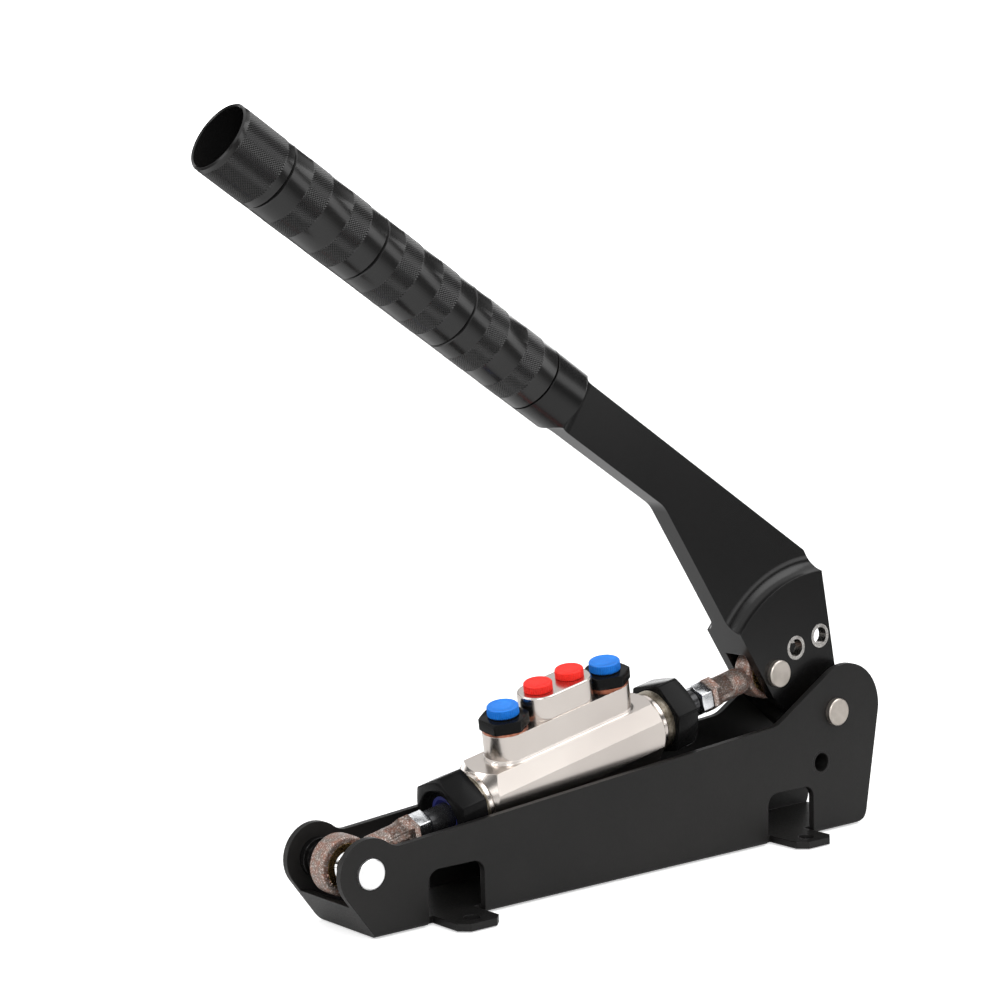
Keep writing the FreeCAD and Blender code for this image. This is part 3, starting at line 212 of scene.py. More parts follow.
def addNoise(tree, vector, scale, steps, rough=0.55):
    noise = tree.nodes.new("ShaderNodeTexNoise")
    noise.inputs["Scale"].default_value = scale
    noise.inputs["Detail"].default_value = steps
    noise.inputs["Roughness"].default_value = rough
    tree.links.new(vector, noise.inputs["Vector"])
    return noise.outputs["Fac"]


def addRamp(tree, factor, stops):
    ramp = tree.nodes.new("ShaderNodeValToRGB")
    while len(ramp.color_ramp.elements) < len(stops):
        ramp.color_ramp.elements.new(0.5)
    for element, (place, colour) in zip(ramp.color_ramp.elements, stops):
        element.position = place
        element.color = (*colour, 1)
    tree.links.new(factor, ramp.inputs["Fac"])
    return ramp.outputs["Color"]


def addFade(tree, factor, span, first, last):
    # the colour first turns into last while factor goes through the span
    return addRamp(tree, factor, list(zip(span, (first, last))))


def addRoughness(tree, shader, value, rough):
    # the pattern's middle values run from the lowest to the highest roughness
    span = tree.nodes.new("ShaderNodeMapRange")
    span.inputs["From Min"].default_value, span.inputs["From Max"].default_value = noiseSpan
    span.inputs["To Min"].default_value, span.inputs["To Max"].default_value = rough
    tree.links.new(value, span.inputs["Value"])
    tree.links.new(span.outputs["Result"], shader.inputs["Roughness"])


def addTones(tree, shader, pattern, span, look):
    tones = addFade(tree, pattern, span, look["dark"], look["light"])
    tree.links.new(tones, shader.inputs["Base Color"])


def addMix(tree, factor, first, second):
    # the colour that comes out of first, and the plain colour second where factor is one
    blend = tree.nodes.new("ShaderNodeMix")
    blend.data_type = "RGBA"
    tree.links.new(factor, blend.inputs["Factor"])
    tree.links.new(first, blend.inputs["A"])
    blend.inputs["B"].default_value = (*second, 1)
    return blend.outputs["Result"]


def addBump(tree, shader, heights, edge):
    # rounded edges first, then each height in turn as (height, strength, distance)
    normal = None
    if edge:
        bevel = tree.nodes.new("ShaderNodeBevel")
        bevel.samples = edgeSamples
        bevel.inputs["Radius"].default_value = edge
        normal = bevel.outputs["Normal"]
    for height, strength, distance in heights:
        bump = tree.nodes.new("ShaderNodeBump")
        bump.inputs["Strength"].default_value = strength
        bump.inputs["Distance"].default_value = distance
        tree.links.new(height, bump.inputs["Height"])
        if normal:
            tree.links.new(normal, bump.inputs["Normal"])
        normal = bump.outputs["Normal"]
    if normal:
        tree.links.new(normal, shader.inputs["Normal"])


def grainFinish(name, look):
    # two tones in large soft patches, and a fine grain that works on gloss and surface
    finish, tree, shader, mapping = startFinish(name, look)
    vector = mapping.outputs["Vector"]
    patches = addNoise(tree, vector, look["patchScale"], detail["patches"])
    addTones(tree, shader, patches, patchSpan, look)
    grain = addNoise(tree, vector, look["grainScale"], detail["grain"])
    addRoughness(tree, shader, grain, look["rough"])
    heights = [(grain, 1.0, look["grainDepth"])]
    if "dentScale" in look:
        dents = addNoise(tree, vector, look["dentScale"], detail["dents"])
        heights.append((dents, 1.0, look["dentDepth"]))
    addBump(tree, shader, heights, look.get("edge", 0))
    return finish


def rustyFinish(name, look):
    # rust over dark mill scale in soft patches, with worn specks of bare metal
    finish, tree, shader, mapping = startFinish(name, look)
    vector = mapping.outputs["Vector"]
    patches = addNoise(tree, vector, look["rustScale"], *look["rustDetail"])
    ground = addFade(tree, patches, look["rustSpan"], look["scale"], look["rust"])
    specks = addNoise(tree, vector, look["speckScale"], *look["speckDetail"])
    worn = addFade(tree, specks, look["speckSpan"], black, white)
    tree.links.new(addMix(tree, worn, ground, look["bare"]), shader.inputs["Base Color"])
    grain = addNoise(tree, vector, look["grainScale"], detail["grain"])
    addRoughness(tree, shader, grain, look["rough"])
    dents = addNoise(tree, vector, look["dentScale"], detail["dents"])
    addBump(tree, shader, [(grain, 1.0, look["grainDepth"]), (dents, 1.0, look["dentDepth"])], 0)
    return finish


def turnedFinish(name, look, centre, axis):
    # fine rings cut round an axis through centre
    finish, tree, shader, mapping = startFinish(name, look)
    turnBack = axis.to_track_quat("Z", "Y").inverted()
    mapping.inputs["Rotation"].default_value = turnBack.to_euler()
    mapping.inputs["Location"].default_value = -(turnBack @ centre)
    vector = mapping.outputs["Vector"]
    rings = tree.nodes.new("ShaderNodeTexWave")
    rings.wave_type = "RINGS"
    rings.rings_direction = "Z"
    rings.inputs["Scale"].default_value = look["ringScale"]
    rings.inputs["Distortion"].default_value = look["wander"]
    rings.inputs["Detail"].default_value = look["ringDetail"]
    rings.inputs["Detail Scale"].default_value = look["ringDetailScale"]
    tree.links.new(vector, rings.inputs["Vector"])
    height = rings.outputs["Fac"]
    patches = addNoise(tree, vector, look["patchScale"], detail["turnedPatches"])
    addTones(tree, shader, patches, noiseSpan, look)
    addRoughness(tree, shader, height, look["rough"])
    addBump(tree, shader, [(height, look["strength"], look["ringDepth"])], look["edge"])
    return finish


powderCoat = grainFinish("powderCoat", {
    "dark": (0.0060, 0.0058, 0.0056), "light": (0.0090, 0.0084, 0.0080), "patchScale": 16,
    "grainScale": 1500, "rough": (0.38, 0.50), "grainDepth": 0.03 * mm,
    "dentScale": 260, "dentDepth": 0.04 * mm, "edge": 0.5 * mm, "specular": 0.22})
leverCoat = grainFinish("leverCoat", {
    "dark": (0.0022, 0.0022, 0.0022), "light": (0.0034, 0.0032, 0.0032), "patchScale": 25,
    "grainScale": 2200, "rough": (0.20, 0.27), "grainDepth": 0.004 * mm, "edge": 0.45 * mm,
    "specular": 0.34})
gripCoat = grainFinish("gripCoat", {
    "dark": (0.0060, 0.0060, 0.0060), "light": (0.0085, 0.0082, 0.0080), "patchScale": 30,
    "grainScale": 2600, "rough": (0.17, 0.23), "grainDepth": 0.002 * mm, "specular": 0.42})
glossCoat = grainFinish("glossCoat", {
    "dark": (0.0040, 0.0040, 0.0042), "light": (0.0060, 0.0060, 0.0060), "patchScale": 60,
    "grainScale": 1800, "rough": (0.14, 0.22), "grainDepth": 0.003 * mm, "specular": 0.07,
    "edge": 0.3 * mm})
satinAluminium = grainFinish("satinAluminium", {
    "dark": (0.56, 0.51, 0.475), "light": (0.62, 0.57, 0.53), "patchScale": 22,
    "grainScale": 1700, "rough": (0.20, 0.22), "grainDepth": 0.0004 * mm, "metal": 1,
    "edge": 0.3 * mm})
threadAluminium = grainFinish("threadAluminium", {
    "dark": (0.30, 0.27, 0.22), "light": (0.50, 0.46, 0.40), "patchScale": 700,
    "grainScale": 1700, "rough": (0.25, 0.4), "grainDepth": 0.01 * mm, "metal": 1})
castIron = rustyFinish("castIron", {
    "rust": (0.24, 0.12, 0.085), "scale": (0.18, 0.145, 0.125), "bare": (0.55, 0.50, 0.47),
    "rustScale": 260, "rustDetail": (6, 0.65), "rustSpan": (0.42, 0.60),
    "speckScale": 1500, "speckDetail": (3, 0.6), "speckSpan": (0.52, 0.66),
    "rough": (0.34, 0.62), "grainScale": 2300, "grainDepth": 0.09 * mm,
    "dentScale": 800, "dentDepth": 0.18 * mm, "metal": 0.6})
brightZinc = grainFinish("brightZinc", {
    "dark": (0.60, 0.61, 0.63), "light": (0.80, 0.81, 0.82), "patchScale": 300,
    "grainScale": 2400, "rough": (0.14, 0.26), "grainDepth": 0.02 * mm, "metal": 1,
    "edge": 0.2 * mm})
bronze = grainFinish("bronze", {
    "dark": (0.20, 0.12, 0.045), "light": (0.45, 0.30, 0.13), "patchScale": 500,
    "grainScale": 2400, "rough": (0.22, 0.38), "grainDepth": 0.02 * mm, "metal": 1,
    "edge": 0.15 * mm})
polishedBall = grainFinish("polishedBall", {
    "dark": (0.80, 0.80, 0.80), "light": (0.92, 0.92, 0.92), "patchScale": 200,
    "grainScale": 900, "rough": (0.05, 0.12), "grainDepth": 0.002 * mm, "metal": 1})
copper = grainFinish("copper", {
    "dark": (0.30, 0.10, 0.06), "light": (0.48, 0.20, 0.13), "patchScale": 400,
    "grainScale": 2400, "rough": (0.25, 0.4), "grainDepth": 0.01 * mm, "metal": 1})
blackRod = grainFinish("blackRod", {
    "dark": (0.03, 0.03, 0.032), "light": (0.05, 0.05, 0.052), "patchScale": 200,
    "grainScale": 2400, "rough": (0.2, 0.3), "grainDepth": 0.005 * mm, "metal": 0.6})
navyWiper = grainFinish("navyWiper", {
    "dark": (0.011, 0.014, 0.10), "light": (0.016, 0.022, 0.16), "patchScale": 300,
    "grainScale": 2000, "rough": (0.4, 0.55), "grainDepth": 0.01 * mm})
sealRubber = grainFinish("sealRubber", {
    "dark": (0.01, 0.01, 0.01), "light": (0.02, 0.02, 0.02), "patchScale": 300,
    "grainScale": 2000, "rough": (0.55, 0.7), "grainDepth": 0.02 * mm})
springSteel = grainFinish("springSteel", {
    "dark": (0.18, 0.18, 0.19), "light": (0.32, 0.32, 0.33), "patchScale": 300,
    "grainScale": 2000, "rough": (0.25, 0.4), "grainDepth": 0.01 * mm, "metal": 1})
bluePlastic = grainFinish("bluePlastic", {
    "dark": (0.010, 0.16, 0.60), "light": (0.014, 0.20, 0.70), "patchScale": 180,
    "grainScale": 2400, "rough": (0.36, 0.48), "grainDepth": 0.01 * mm, "specular": 0.25})
redPlastic = grainFinish("redPlastic", {
    "dark": (0.74, 0.016, 0.010), "light": (0.88, 0.024, 0.014), "patchScale": 180,
    "grainScale": 2400, "rough": (0.36, 0.48), "grainDepth": 0.01 * mm, "specular": 0.25})
bushSteel = grainFinish("bushSteel", {
    "dark": (0.42, 0.40, 0.38), "light": (0.68, 0.66, 0.63), "patchScale": 260,
    "grainScale": 2400, "rough": (0.2, 0.34), "grainDepth": 0.015 * mm, "metal": 1,
    "edge": 0.2 * mm})

pinLook = {"dark": (0.43, 0.39, 0.35), "light": (0.54, 0.495, 0.45), "patchScale": 150,
           "ringScale": 780, "wander": 0.3, "ringDetail": 2, "ringDetailScale": 3,
           "strength": 0.5, "ringDepth": 0.03 * mm, "rough": (0.28, 0.42), "metal": 1,
           "edge": 0.25 * mm}
# the front pin's head gets near-white tones, a painted highlight for the lamp it mirrors; the
# other pins keep the plain turned tones
frontPinPaintedHighlightLook = dict(pinLook, dark=(0.86, 0.86, 0.86), light=(0.96, 0.96, 0.96))
across = Vector((0, 1, 0))
pinFaces = {"front_pin": turnedFinish("frontPinPaintedHighlightFace", frontPinPaintedHighlightLook, frontPin, across),
            "pivot_pin": turnedFinish("pivotPinFace", pinLook, pivotPin, across),
            "lever_pin": turnedFinish("leverPinFace", pinLook, leverPin, across)}
print("finishes made")


# Finishes of the carried-over nodes

nodeSmooth = 28
nodeFinish = {
    "base_frame": powderCoat, "side_tube": powderCoat, "front_spacer_near": leverCoat,
    "front_spacer_far": leverCoat, "front_ball": polishedBall, "rear_ball": polishedBall,
    "lever_arm": leverCoat, "lower_fork_bushes": bushSteel, "middle_fork_bushes": bushSteel,
    "upper_fork_bushes": bushSteel, "pivot_bushes": bronze, "pivot_spacer": brightZinc,
    "cylinder_body": satinAluminium, "front_pin_clip": springSteel, "pivot_pin_clip": springSteel,
    "lever_pin_clip": springSteel, "grip_tube": gripCoat}
nodeFinish.update(pinFaces)
for end in ("front", "rear"):
    nodeFinish.update({
        end + "_gland_nut": glossCoat, end + "_rod_guide": satinAluminium,
        end + "_rod_wiper": navyWiper, end + "_inlet_washer": copper,
        end + "_inlet_adaptor": glossCoat, end + "_inlet_cap": bluePlastic,
        end + "_outlet_cap": redPlastic, end + "_rod": blackRod, end + "_piston": satinAluminium,
        end + "_piston_seal": sealRubber, end + "_return_spring": springSteel,
        end + "_rod_end": castIron, end + "_rod_end_liner": bronze, end + "_lock_nut": brightZinc})
for node, finish in nodeFinish.items():
    nodes[node].data.materials.clear()
    nodes[node].data.materials.append(finish)
    smoothBy(nodes[node], nodeSmooth)
print("nodes finished")


# Grip sleeve with its knurled bands

sleeve = {
    "sides": 164, "radius": 15.0 * mm, "bore": 12.2 * mm, "mouth": 13.7 * mm,
    "mouthDepth": 18.0 * mm, "rim": 0.6 * mm, "lip": 0.5 * mm,
    "endLength": 27.1 * mm, "pitch": 51.03 * mm, "segments": 3,
    "grooveDepth": 0.95 * mm, "grooveWidth": 1.3 * mm, "knurlStep": 0.575 * mm,
    "endKnurl": (2.2 * mm, 23.3 * mm), "bands": ((9.2 * mm, 20.2 * mm), (31.0 * mm, 41.8 * mm)),
    "raise": 0.12 * mm, "sink": 0.13 * mm, "ringReach": 0.1, "skin": 0.05 * mm, "smooth": 24}


def ringCount(low, high):
    return 2 * round((high - low) / sleeve["knurlStep"] / 2)


def ringAt(height, bands):
    # number of the knurl's ring at this height, none at the ends of a band or outside
    for low, high in bands:
        count = ringCount(low, high)
        place = (height - low) / (high - low) * count
        if 0.5 < place < count - 0.5 and abs(place - round(place)) < sleeve["ringReach"]:
            return round(place)
    return None


def makeGripSleeve():
    radius, rim, depth = sleeve["radius"], sleeve["rim"], sleeve["grooveDepth"]
    segments = sleeve["segments"]
    length = sleeve["endLength"] + segments * sleeve["pitch"]
    half = sleeve["grooveWidth"] / 2
    floorOfMouth = -length + sleeve["mouthDepth"]
    profile = [(sleeve["bore"], floorOfMouth), (sleeve["mouth"], floorOfMouth),
               (sleeve["mouth"], -length + sleeve["lip"]),
               (sleeve["mouth"] + sleeve["lip"], -length),
               (radius - rim, -length), (radius, -length + rim)]
    knurled = []
    spans = [(-length, [sleeve["endKnurl"]])]
    spans += [(-(segments - number) * sleeve["pitch"], sleeve["bands"])
              for number in range(segments)]
    for number, (start, bands) in enumerate(spans):
        if number:
            profile += [(radius, start - half), (radius - depth, start), (radius, start + half)]
        for low, high in bands:
            count = ringCount(low, high)
            profile += [(radius, start + low + (high - low) * ring / count)
                        for ring in range(count + 1)]
            knurled.append((start + low, start + high))
    profile += [(radius, -depth), (radius - depth, 0), (sleeve["bore"], 0),
                (sleeve["bore"], floorOfMouth)]
    piece = latheShape("gripSleeve", sleeve["sides"], profile)
    step = 2 * math.pi / sleeve["sides"]

    def onKnurl(place, even):
        ring = ringAt(place.z, knurled)
        if ring is None or abs(math.hypot(place.x, place.y) - radius) > sleeve["skin"]:
            return False
        return (round(math.atan2(place.y, place.x) / step) + ring) % 2 == even

    editPiece(piece)
    selectPoints(piece, lambda place: onKnurl(place, 0))
    bpy.ops.transform.shrink_fatten(value=sleeve["raise"])
    selectPoints(piece, lambda place: onKnurl(place, 1))
    bpy.ops.transform.shrink_fatten(value=-sleeve["sink"])
    bpy.ops.mesh.select_all(action="SELECT")
    # the folds run along the valleys
    bpy.ops.mesh.quads_convert_to_tris(quad_method="SHORTEST_DIAGONAL")
    leaveEdit()
    smoothBy(piece, sleeve["smooth"])
    settle(piece, gripStart, -nearSide, gripAxis)
    dress(piece, "lever", gripCoat, "grip_tube")


makeGripSleeve()
print("grip sleeve made")


# Nuts and hexagons

hexagon = {"sides": 96, "spare": 1 * mm, "cornerSteps": 4, "weld": 0.004 * mm, "flatten": 0.5,
           "edgeSteps": 2, "edgeAngle": 25, "smooth": 30}


def hexagonPiece(name, nut):
    # a six-sided bar with softened corners, turned to a barrel by its chamfers and bored through
    clearSelection()
    height = nut["top"] - nut["foot"]
    reach = nut["flats"] / math.sqrt(3)
    bpy.ops.mesh.primitive_cylinder_add(vertices=6, radius=reach, depth=height, location=(0, 0, 0))
    piece = bpy.context.object
    piece.name = name
    bpy.ops.object.mode_set(mode="EDIT")
    bpy.ops.mesh.select_all(action="SELECT")
    bpy.ops.transform.translate(value=(0, 0, nut["foot"] + height / 2))
    bpy.ops.transform.rotate(value=math.radians(nut["turn"]), orient_axis="Z",
                             center_override=(0, 0, 0))
    bpy.ops.mesh.select_mode(type="EDGE")
    selectEdges(piece, lambda edge: abs(edge.verts[0].co.z - edge.verts[1].co.z) > height / 2)
    bpy.ops.mesh.bevel(offset=nut["corner"], segments=hexagon["cornerSteps"], affect="EDGES")
    leaveEdit()
    wide = reach + hexagon["spare"]
    barrel = latheShape(name + "Barrel", hexagon["sides"], [
        (nut["footFace"], nut["foot"]), (wide, nut["foot"] + nut["footSlope"]),
        (wide, nut["top"] - nut["topSlope"]), (nut["topFace"], nut["top"])], closed=False)
    combine(piece, barrel, "INTERSECT")
    bore = latheShape(name + "Bore", hexagon["sides"], nut["bore"], closed=False)
    combine(piece, bore, "DIFFERENCE")
    editPiece(piece)
    bpy.ops.mesh.select_all(action="SELECT")
    bpy.ops.mesh.remove_doubles(threshold=hexagon["weld"])
    bpy.ops.mesh.dissolve_limited(angle_limit=math.radians(hexagon["flatten"]))
    leaveEdit()
    roundEdges(piece, nut["edge"], hexagon["edgeSteps"], hexagon["edgeAngle"])
    smoothBy(piece, hexagon["smooth"])
    return piece


gland = {
    "corner": 0.9 * mm, "edge": 0.22 * mm,
    "footFace": 17.0 * mm, "footSlope": 0.8 * mm, "topFace": 14.6 * mm, "topSlope": 1.9 * mm,
    "bore": [(12.68 * mm, 52.2 * mm), (12.68 * mm, 61.7 * mm), (8.65 * mm, 61.7 * mm),
             (8.65 * mm, 64.2 * mm), (9.6 * mm, 64.3 * mm), (10.2 * mm, 65.3 * mm),
             (11.3 * mm, 65.4 * mm), (12.2 * mm, 68.5 * mm)]}
glandEnds = {"front": {"turn": 8.5, "foot": 53.9 * mm, "top": 67.3 * mm, "flats": 31.2 * mm},
             "rear": {"turn": -19.6, "foot": 54.4 * mm, "top": 66.5 * mm, "flats": 30.0 * mm}}

for end, outward in (("front", -boreAxis), ("rear", boreAxis)):
    nut = hexagonPiece(end + "GlandNut", dict(gland, **glandEnds[end]))
    settle(nut, bodyCentre, -nearSide, outward)
    dress(nut, "cylinder", glossCoat, end + "_gland_nut")

lockNut = {
    "foot": 36.0 * mm, "top": 42.5 * mm, "flats": 13.0 * mm, "corner": 0.25 * mm,
    "edge": 0.15 * mm, "turn": 0,
    "footFace": 6.3 * mm, "footSlope": 0.8 * mm, "topFace": 6.3 * mm, "topSlope": 0.8 * mm,
    "bore": [(4.6 * mm, 35.5 * mm), (4.05 * mm, 36.6 * mm), (4.05 * mm, 41.9 * mm),
             (4.6 * mm, 43.0 * mm)]}
for end, pin, inward in (("front", frontPin, boreAxis), ("rear", leverPin, -boreAxis)):
    nut = hexagonPiece(end + "LockNut", lockNut)
    settle(nut, pin, -nearSide, inward)
    dress(nut, end + "_rod", brightZinc, end + "_lock_nut")
print("nuts made")


# Inlet adaptors, caps and the middle block's caps

inlets = {"spacing": 57.2 * mm, "seat": 26.7 * mm}
outlets = {"spacing": 17.5 * mm, "seat": 37.1 * mm}
adaptor = {
    "foot": 1.0 * mm, "top": 6.0 * mm, "flats": 19.0 * mm, "corner": 0.6 * mm,
    "edge": 0.25 * mm, "turn": 0,
    "footFace": 10.2 * mm, "footSlope": 0.5 * mm, "topFace": 9.7 * mm, "topSlope": 0.7 * mm,
    "bore": [(2.6 * mm, 0.0), (2.6 * mm, 7.0 * mm)]}
adaptorStem = {"sides": 64, "profile": [
    (2.6 * mm, -6.5 * mm), (5.95 * mm, -6.5 * mm), (5.95 * mm, 6.5 * mm), (5.0 * mm, 6.6 * mm),
    (5.0 * mm, 8.9 * mm), (2.6 * mm, 8.9 * mm), (2.6 * mm, -6.5 * mm)]}
blueCap = {"ribs": 46, "radius": 6.8 * mm, "foot": 6.5 * mm, "ribTop": 10.2 * mm,
           "top": 10.6 * mm, "bore": 5.05 * mm, "roof": 9.0 * mm, "ribDepth": 0.42 * mm,
           "dish": 0.18 * mm}
redCap = {"ribs": 44, "radius": 6.2 * mm, "foot": 0.0, "ribTop": 3.25 * mm, "top": 3.6 * mm,
          "bore": 4.95 * mm, "roof": 2.4 * mm, "ribDepth": 0.32 * mm, "dish": 0.15 * mm,
          "plug": 6.0 * mm}
capShape = {"footIn": 0.15 * mm, "footUp": 0.2 * mm, "sideEnd": 0.3 * mm, "shoulder": 0.05 * mm,
            "rim": 0.4 * mm, "rimIn": 1.1 * mm, "dishIn": 1.4 * mm, "middle": 0.4 * mm,
            "plugWall": 1.2 * mm, "sideReach": 0.2 * mm, "ribEnd": 0.1 * mm, "smooth": 40}


def ribbedCap(name, cap):
    # a soft cap: ribs round the foot, a rolled top edge and a slightly sunk top
    radius, top, foot, bore = cap["radius"], cap["top"], cap["foot"], cap["bore"]
    ribTop, sunk = cap["ribTop"], top - cap["dish"]
    profile = [(bore, cap["roof"]), (bore, foot), (radius - capShape["footIn"], foot),
               (radius, foot + capShape["footUp"]), (radius, ribTop - capShape["sideEnd"]),
               (radius - capShape["shoulder"], ribTop), (radius - capShape["rim"], top),
               (radius - capShape["rimIn"], top), (radius - capShape["dishIn"], sunk),
               (radius / 2, sunk), (capShape["middle"], sunk)]
    if "plug" in cap:
        inside = bore - capShape["plugWall"]
        profile[:2] = [(inside, cap["roof"]), (inside, -cap["plug"]), (bore, -cap["plug"]),
                       (bore, foot)]
    piece = latheShape(name, 2 * cap["ribs"], profile, closed=False)
    step = math.pi / cap["ribs"]

    def inValley(place):
        around = round(math.atan2(place.y, place.x) / step)
        onSide = math.hypot(place.x, place.y) > radius - capShape["sideReach"]
        return onSide and place.z < ribTop - capShape["ribEnd"] and around % 2 == 0

    editPiece(piece)
    selectPoints(piece, inValley)
    bpy.ops.transform.shrink_fatten(value=-cap["ribDepth"])
    leaveEdit()
    smoothBy(piece, capShape["smooth"])
    return piece


def seatOf(ports, side):
    return bodyCentre + boreAxis * (side * ports["spacing"] / 2) + towerUp * ports["seat"]


for end, side in (("front", -1), ("rear", 1)):
    seat = seatOf(inlets, side)
    fitting = hexagonPiece(end + "InletAdaptor", adaptor)
    stem = latheShape(end + "InletStem", adaptorStem["sides"], adaptorStem["profile"])
    combine(fitting, stem, "UNION")
    smoothBy(fitting, hexagon["smooth"])
    settle(fitting, seat, boreAxis, towerUp)
    dress(fitting, "cylinder", glossCoat, end + "_inlet_adaptor")
    cap = ribbedCap(end + "BlueCap", blueCap)
    settle(cap, seat, boreAxis, towerUp)
    dress(cap, "cylinder", bluePlastic, end + "_inlet_cap")
    seat = seatOf(outlets, side)
    cap = ribbedCap(end + "RedCap", redCap)
    settle(cap, seat, boreAxis, towerUp)
    dress(cap, "cylinder", redPlastic, end + "_outlet_cap")
print("fittings made")


# Threads left open at the ends of the cylinder, and the cove at the tower's foot

openThread = {
    "foot": 50.2 * mm, "intoNut": 0.1 * mm, "root": 12.65 * mm, "crest": 13.35 * mm,
    "core": 12.3 * mm, "pitch": 0.85 * mm, "sides": 96, "smooth": 20,
    "ridge": (("root", 0), ("root", 0.2), ("crest", 0.5), ("crest", 0.7))}
for end, outward in (("front", -boreAxis), ("rear", boreAxis)):
    low, top = openThread["foot"], glandEnds[end]["foot"] + openThread["intoNut"]
    turns = round((top - low) / openThread["pitch"])
    pitch = (top - low) / turns
    profile = [(openThread[level], low + number * pitch + part * pitch)
               for number in range(turns) for level, part in openThread["ridge"]]
    profile += [(openThread["root"], top), (openThread["core"], top),
                (openThread["core"], low), (openThread["root"], low)]
    thread = latheShape(end + "OpenThread", openThread["sides"], profile)
    smoothBy(thread, openThread["smooth"])
    settle(thread, bodyCentre, -nearSide, outward)
    dress(thread, "cylinder", threadAluminium)

towerFoot = {
    "radius": 9.85 * mm, "spread": 28.6 * mm, "height": 14.2 * mm, "sides": 72, "smooth": 50,
    "steps": ((1.2, -0.2), (1.2, 0.08), (0.78, 0.14), (0.66, 0.42), (0.42, 0.5), (0.34, 0.9),
              (0.14, 1.0), (0.08, 1.5), (-0.1, 1.7), (-0.1, -0.2), (1.2, -0.2))}


def makeTowerFoot():
    # a stepped ring, pulled apart along the body into the tower's long outline
    sides, spread = towerFoot["sides"], towerFoot["spread"]
    profile = [(towerFoot["radius"] + out * mm, towerFoot["height"] + up * mm)
               for out, up in towerFoot["steps"]]
    piece = latheShape("towerFootCove", sides, profile)
    editPiece(piece)
    bpy.ops.mesh.select_all(action="SELECT")
    bpy.ops.transform.rotate(value=math.pi / sides, orient_axis="Z", center_override=(0, 0, 0))
    for side in (-1, 1):
        selectPoints(piece, lambda place: place.x * side > 0 and abs(place.x) < spread / 2)
        bpy.ops.transform.translate(value=(side * spread, 0, 0))
    leaveEdit()
    smoothBy(piece, towerFoot["smooth"])
    settle(piece, bodyCentre, boreAxis, towerUp)
    dress(piece, "cylinder", satinAluminium)


makeTowerFoot()
print("threads and cove made")


# Cast rod ends

# a midLevel above one half moves the lumps mostly inwards, so the skin doesn't outgrow the solid
casting = {"weld": 0.005 * mm, "voxel": 0.42 * mm, "lumps": 1.6 * mm, "depth": 0.16 * mm,
           "midLevel": 0.75}
for end in ("front", "rear"):
    node = nodes[end + "_rod_end"]
    piece = bpy.data.objects.new(end + "CastRodEnd", node.data.copy())
    bpy.context.scene.collection.objects.link(piece)
    editPiece(piece)
    bpy.ops.mesh.select_all(action="SELECT")
    bpy.ops.mesh.remove_doubles(threshold=casting["weld"])
    leaveEdit()
    takeUp(piece)
    piece.data.remesh_voxel_size = casting["voxel"]
    bpy.ops.object.voxel_remesh()
    skin = bpy.data.textures.new(end + "CastSkin", "CLOUDS")
    skin.noise_scale = casting["lumps"]
    lumps = piece.modifiers.new("lumps", "DISPLACE")
    lumps.texture = skin
    lumps.texture_coords = "LOCAL"
    lumps.strength = casting["depth"]
    lumps.mid_level = casting["midLevel"]
    bpy.ops.object.modifier_apply(modifier="lumps")
    bpy.ops.object.shade_smooth()
    dress(piece, end + "_rod", castIron, end + "_rod_end")
print("castings made")


# Floor, light and camera

floorLook = {"size": 12.0, "height": -0.6 * mm, "colour": (0.78, 0.78, 0.78), "rough": 0.9,
             "specular": 0.1, "glow": 0.50}
# what the object mirrors: a white table top, darker ground beyond it, and a bright far end
ground, farEnd = (0.14, 0.14, 0.14), (0.95, 0.95, 0.95)
mirroredFloor = [(0.05, floorLook["colour"]), (0.12, ground), (0.45, ground), (0.75, farEnd)]
# and overhead: a bright wall low down, a dark gap above it and a soft ceiling
gap, ceiling, zenith = (0.03, 0.03, 0.03), (0.48, 0.48, 0.48), (0.58, 0.58, 0.58)
mirroredSky = [(0.0, white), (0.18, white), (0.27, gap), (0.42, gap), (0.62, ceiling),
               (1.0, zenith)]
skyStrength = 2.2

clearSelection()
bpy.ops.mesh.primitive_plane_add(size=floorLook["size"], location=(0, 0, floorLook["height"]))
floor = bpy.context.object
floor.name = "studioFloor"
floorFinish = bpy.data.materials.new("studioFloorFinish")
floorFinish.use_nodes = True
floorTree = floorFinish.node_tree
floorShader = floorTree.nodes["Principled BSDF"]
floorShader.inputs["Base Color"].default_value = (*floorLook["colour"], 1)
floorShader.inputs["Roughness"].default_value = floorLook["rough"]
floorShader.inputs["Specular IOR Level"].default_value = floorLook["specular"]
floorShader.inputs["Emission Color"].default_value = (*white, 1)
floorPlace = floorTree.nodes.new("ShaderNodeTexCoord")
farAway = floorTree.nodes.new("ShaderNodeVectorMath")
farAway.operation = "LENGTH"
floorTree.links.new(floorPlace.outputs["Object"], farAway.inputs[0])
floorSpan = floorTree.nodes.new("ShaderNodeMath")
floorSpan.operation = "DIVIDE"
floorSpan.inputs[1].default_value = floorLook["size"] / 2
floorTree.links.new(farAway.outputs["Value"], floorSpan.inputs[0])
floorTones = addRamp(floorTree, floorSpan.outputs["Value"], mirroredFloor)
seenFloor = floorTree.nodes.new("ShaderNodeLightPath").outputs["Is Camera Ray"]
floorTree.links.new(addMix(floorTree, seenFloor, floorTones, floorLook["colour"]),
                    floorShader.inputs["Base Color"])
# the floor glows for the camera alone, so it stays evenly white
glow = floorTree.nodes.new("ShaderNodeMath")
glow.operation = "MULTIPLY"
glow.inputs[1].default_value = floorLook["glow"]
floorTree.links.new(seenFloor, glow.inputs[0])
floorTree.links.new(glow.outputs["Value"], floorShader.inputs["Emission Strength"])
floor.data.materials.append(floorFinish)

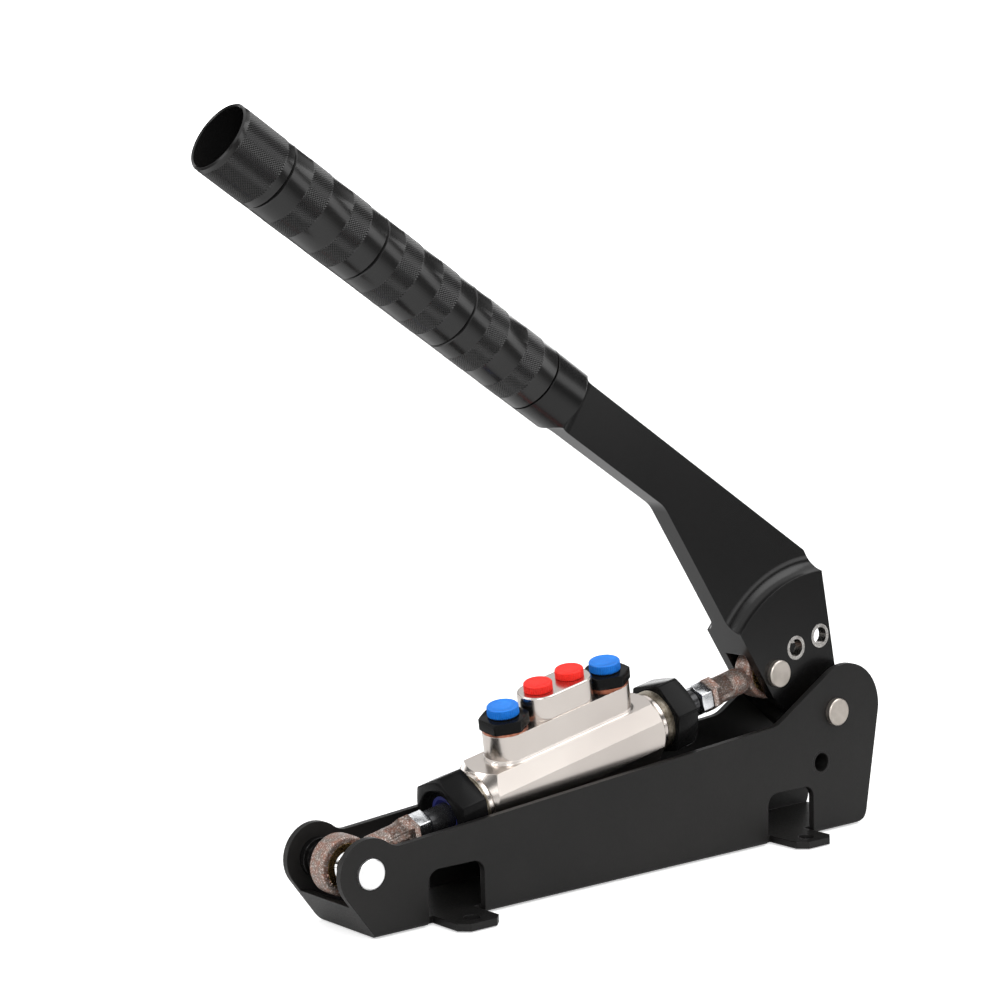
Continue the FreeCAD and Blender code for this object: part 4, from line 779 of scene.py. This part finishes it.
world = bpy.data.worlds.new("studioSky")
bpy.context.scene.world = world
world.use_nodes = True
sky = world.node_tree
direction = sky.nodes.new("ShaderNodeTexCoord")
parts = sky.nodes.new("ShaderNodeSeparateXYZ")
sky.links.new(direction.outputs["Generated"], parts.inputs["Vector"])
skyTones = addRamp(sky, parts.outputs["Z"], mirroredSky)
seenSky = sky.nodes.new("ShaderNodeLightPath").outputs["Is Camera Ray"]
sky.links.new(addMix(sky, seenSky, skyTones, white), sky.nodes["Background"].inputs["Color"])
sky.nodes["Background"].inputs["Strength"].default_value = skyStrength

softBoxes = {
    "overhead": {"place": (0.56, -0.68, 1.05), "aim": (0.0, 0.0, 0.08), "size": (0.9, 0.8),
                 "power": 5.4},
    "leftBox": {"place": (-0.60, -0.72, 0.72), "aim": (0.1, 0.0, 0.12), "size": (0.4, 0.4),
                "power": 3.4},
    "backBox": {"place": (-0.85, 0.31, 0.75), "aim": (0.1, 0.0, 0.12), "size": (0.4, 0.4),
                "power": 3.4}}
for name, box in softBoxes.items():
    lamp = bpy.data.lights.new(name, "AREA")
    lamp.shape = "RECTANGLE"
    lamp.size, lamp.size_y = box["size"]
    lamp.energy = box["power"]
    holder = bpy.data.objects.new(name, lamp)
    bpy.context.scene.collection.objects.link(holder)
    holder.location = box["place"]
    holder.visible_camera = False
    aim = Vector(box["aim"]) - Vector(box["place"])
    holder.rotation_euler = aim.to_track_quat("-Z", "Y").to_euler()

# the photo's own viewpoint, as solved from the places of its features
view = {"place": (-0.690544, -0.816611, 0.285281), "yaw": 0.6638, "pitch": 0.1145,
        "roll": -0.0241, "lens": 90.47, "sensor": 36, "nearest": 0.01, "farthest": 50}
yaw, pitch, tilt = view["yaw"], view["pitch"], view["roll"]
look = Vector((math.sin(yaw) * math.cos(pitch), math.cos(yaw) * math.cos(pitch), -math.sin(pitch)))
level = Vector((math.cos(yaw), -math.sin(yaw), 0))
upright = level.cross(look)
right = level * math.cos(tilt) + upright * math.sin(tilt)
up = upright * math.cos(tilt) - level * math.sin(tilt)
turn = Matrix((right, up, -look)).transposed().to_4x4()
lens = bpy.data.cameras.new("photoView")
lens.lens = view["lens"]
lens.sensor_width = view["sensor"]
lens.clip_start = view["nearest"]
lens.clip_end = view["farthest"]
camera = bpy.data.objects.new("photoView", lens)
bpy.context.scene.collection.objects.link(camera)
camera.matrix_world = Matrix.Translation(view["place"]) @ turn
bpy.context.scene.camera = camera
bpy.context.scene.view_settings.view_transform = "Standard"
print("stage set")
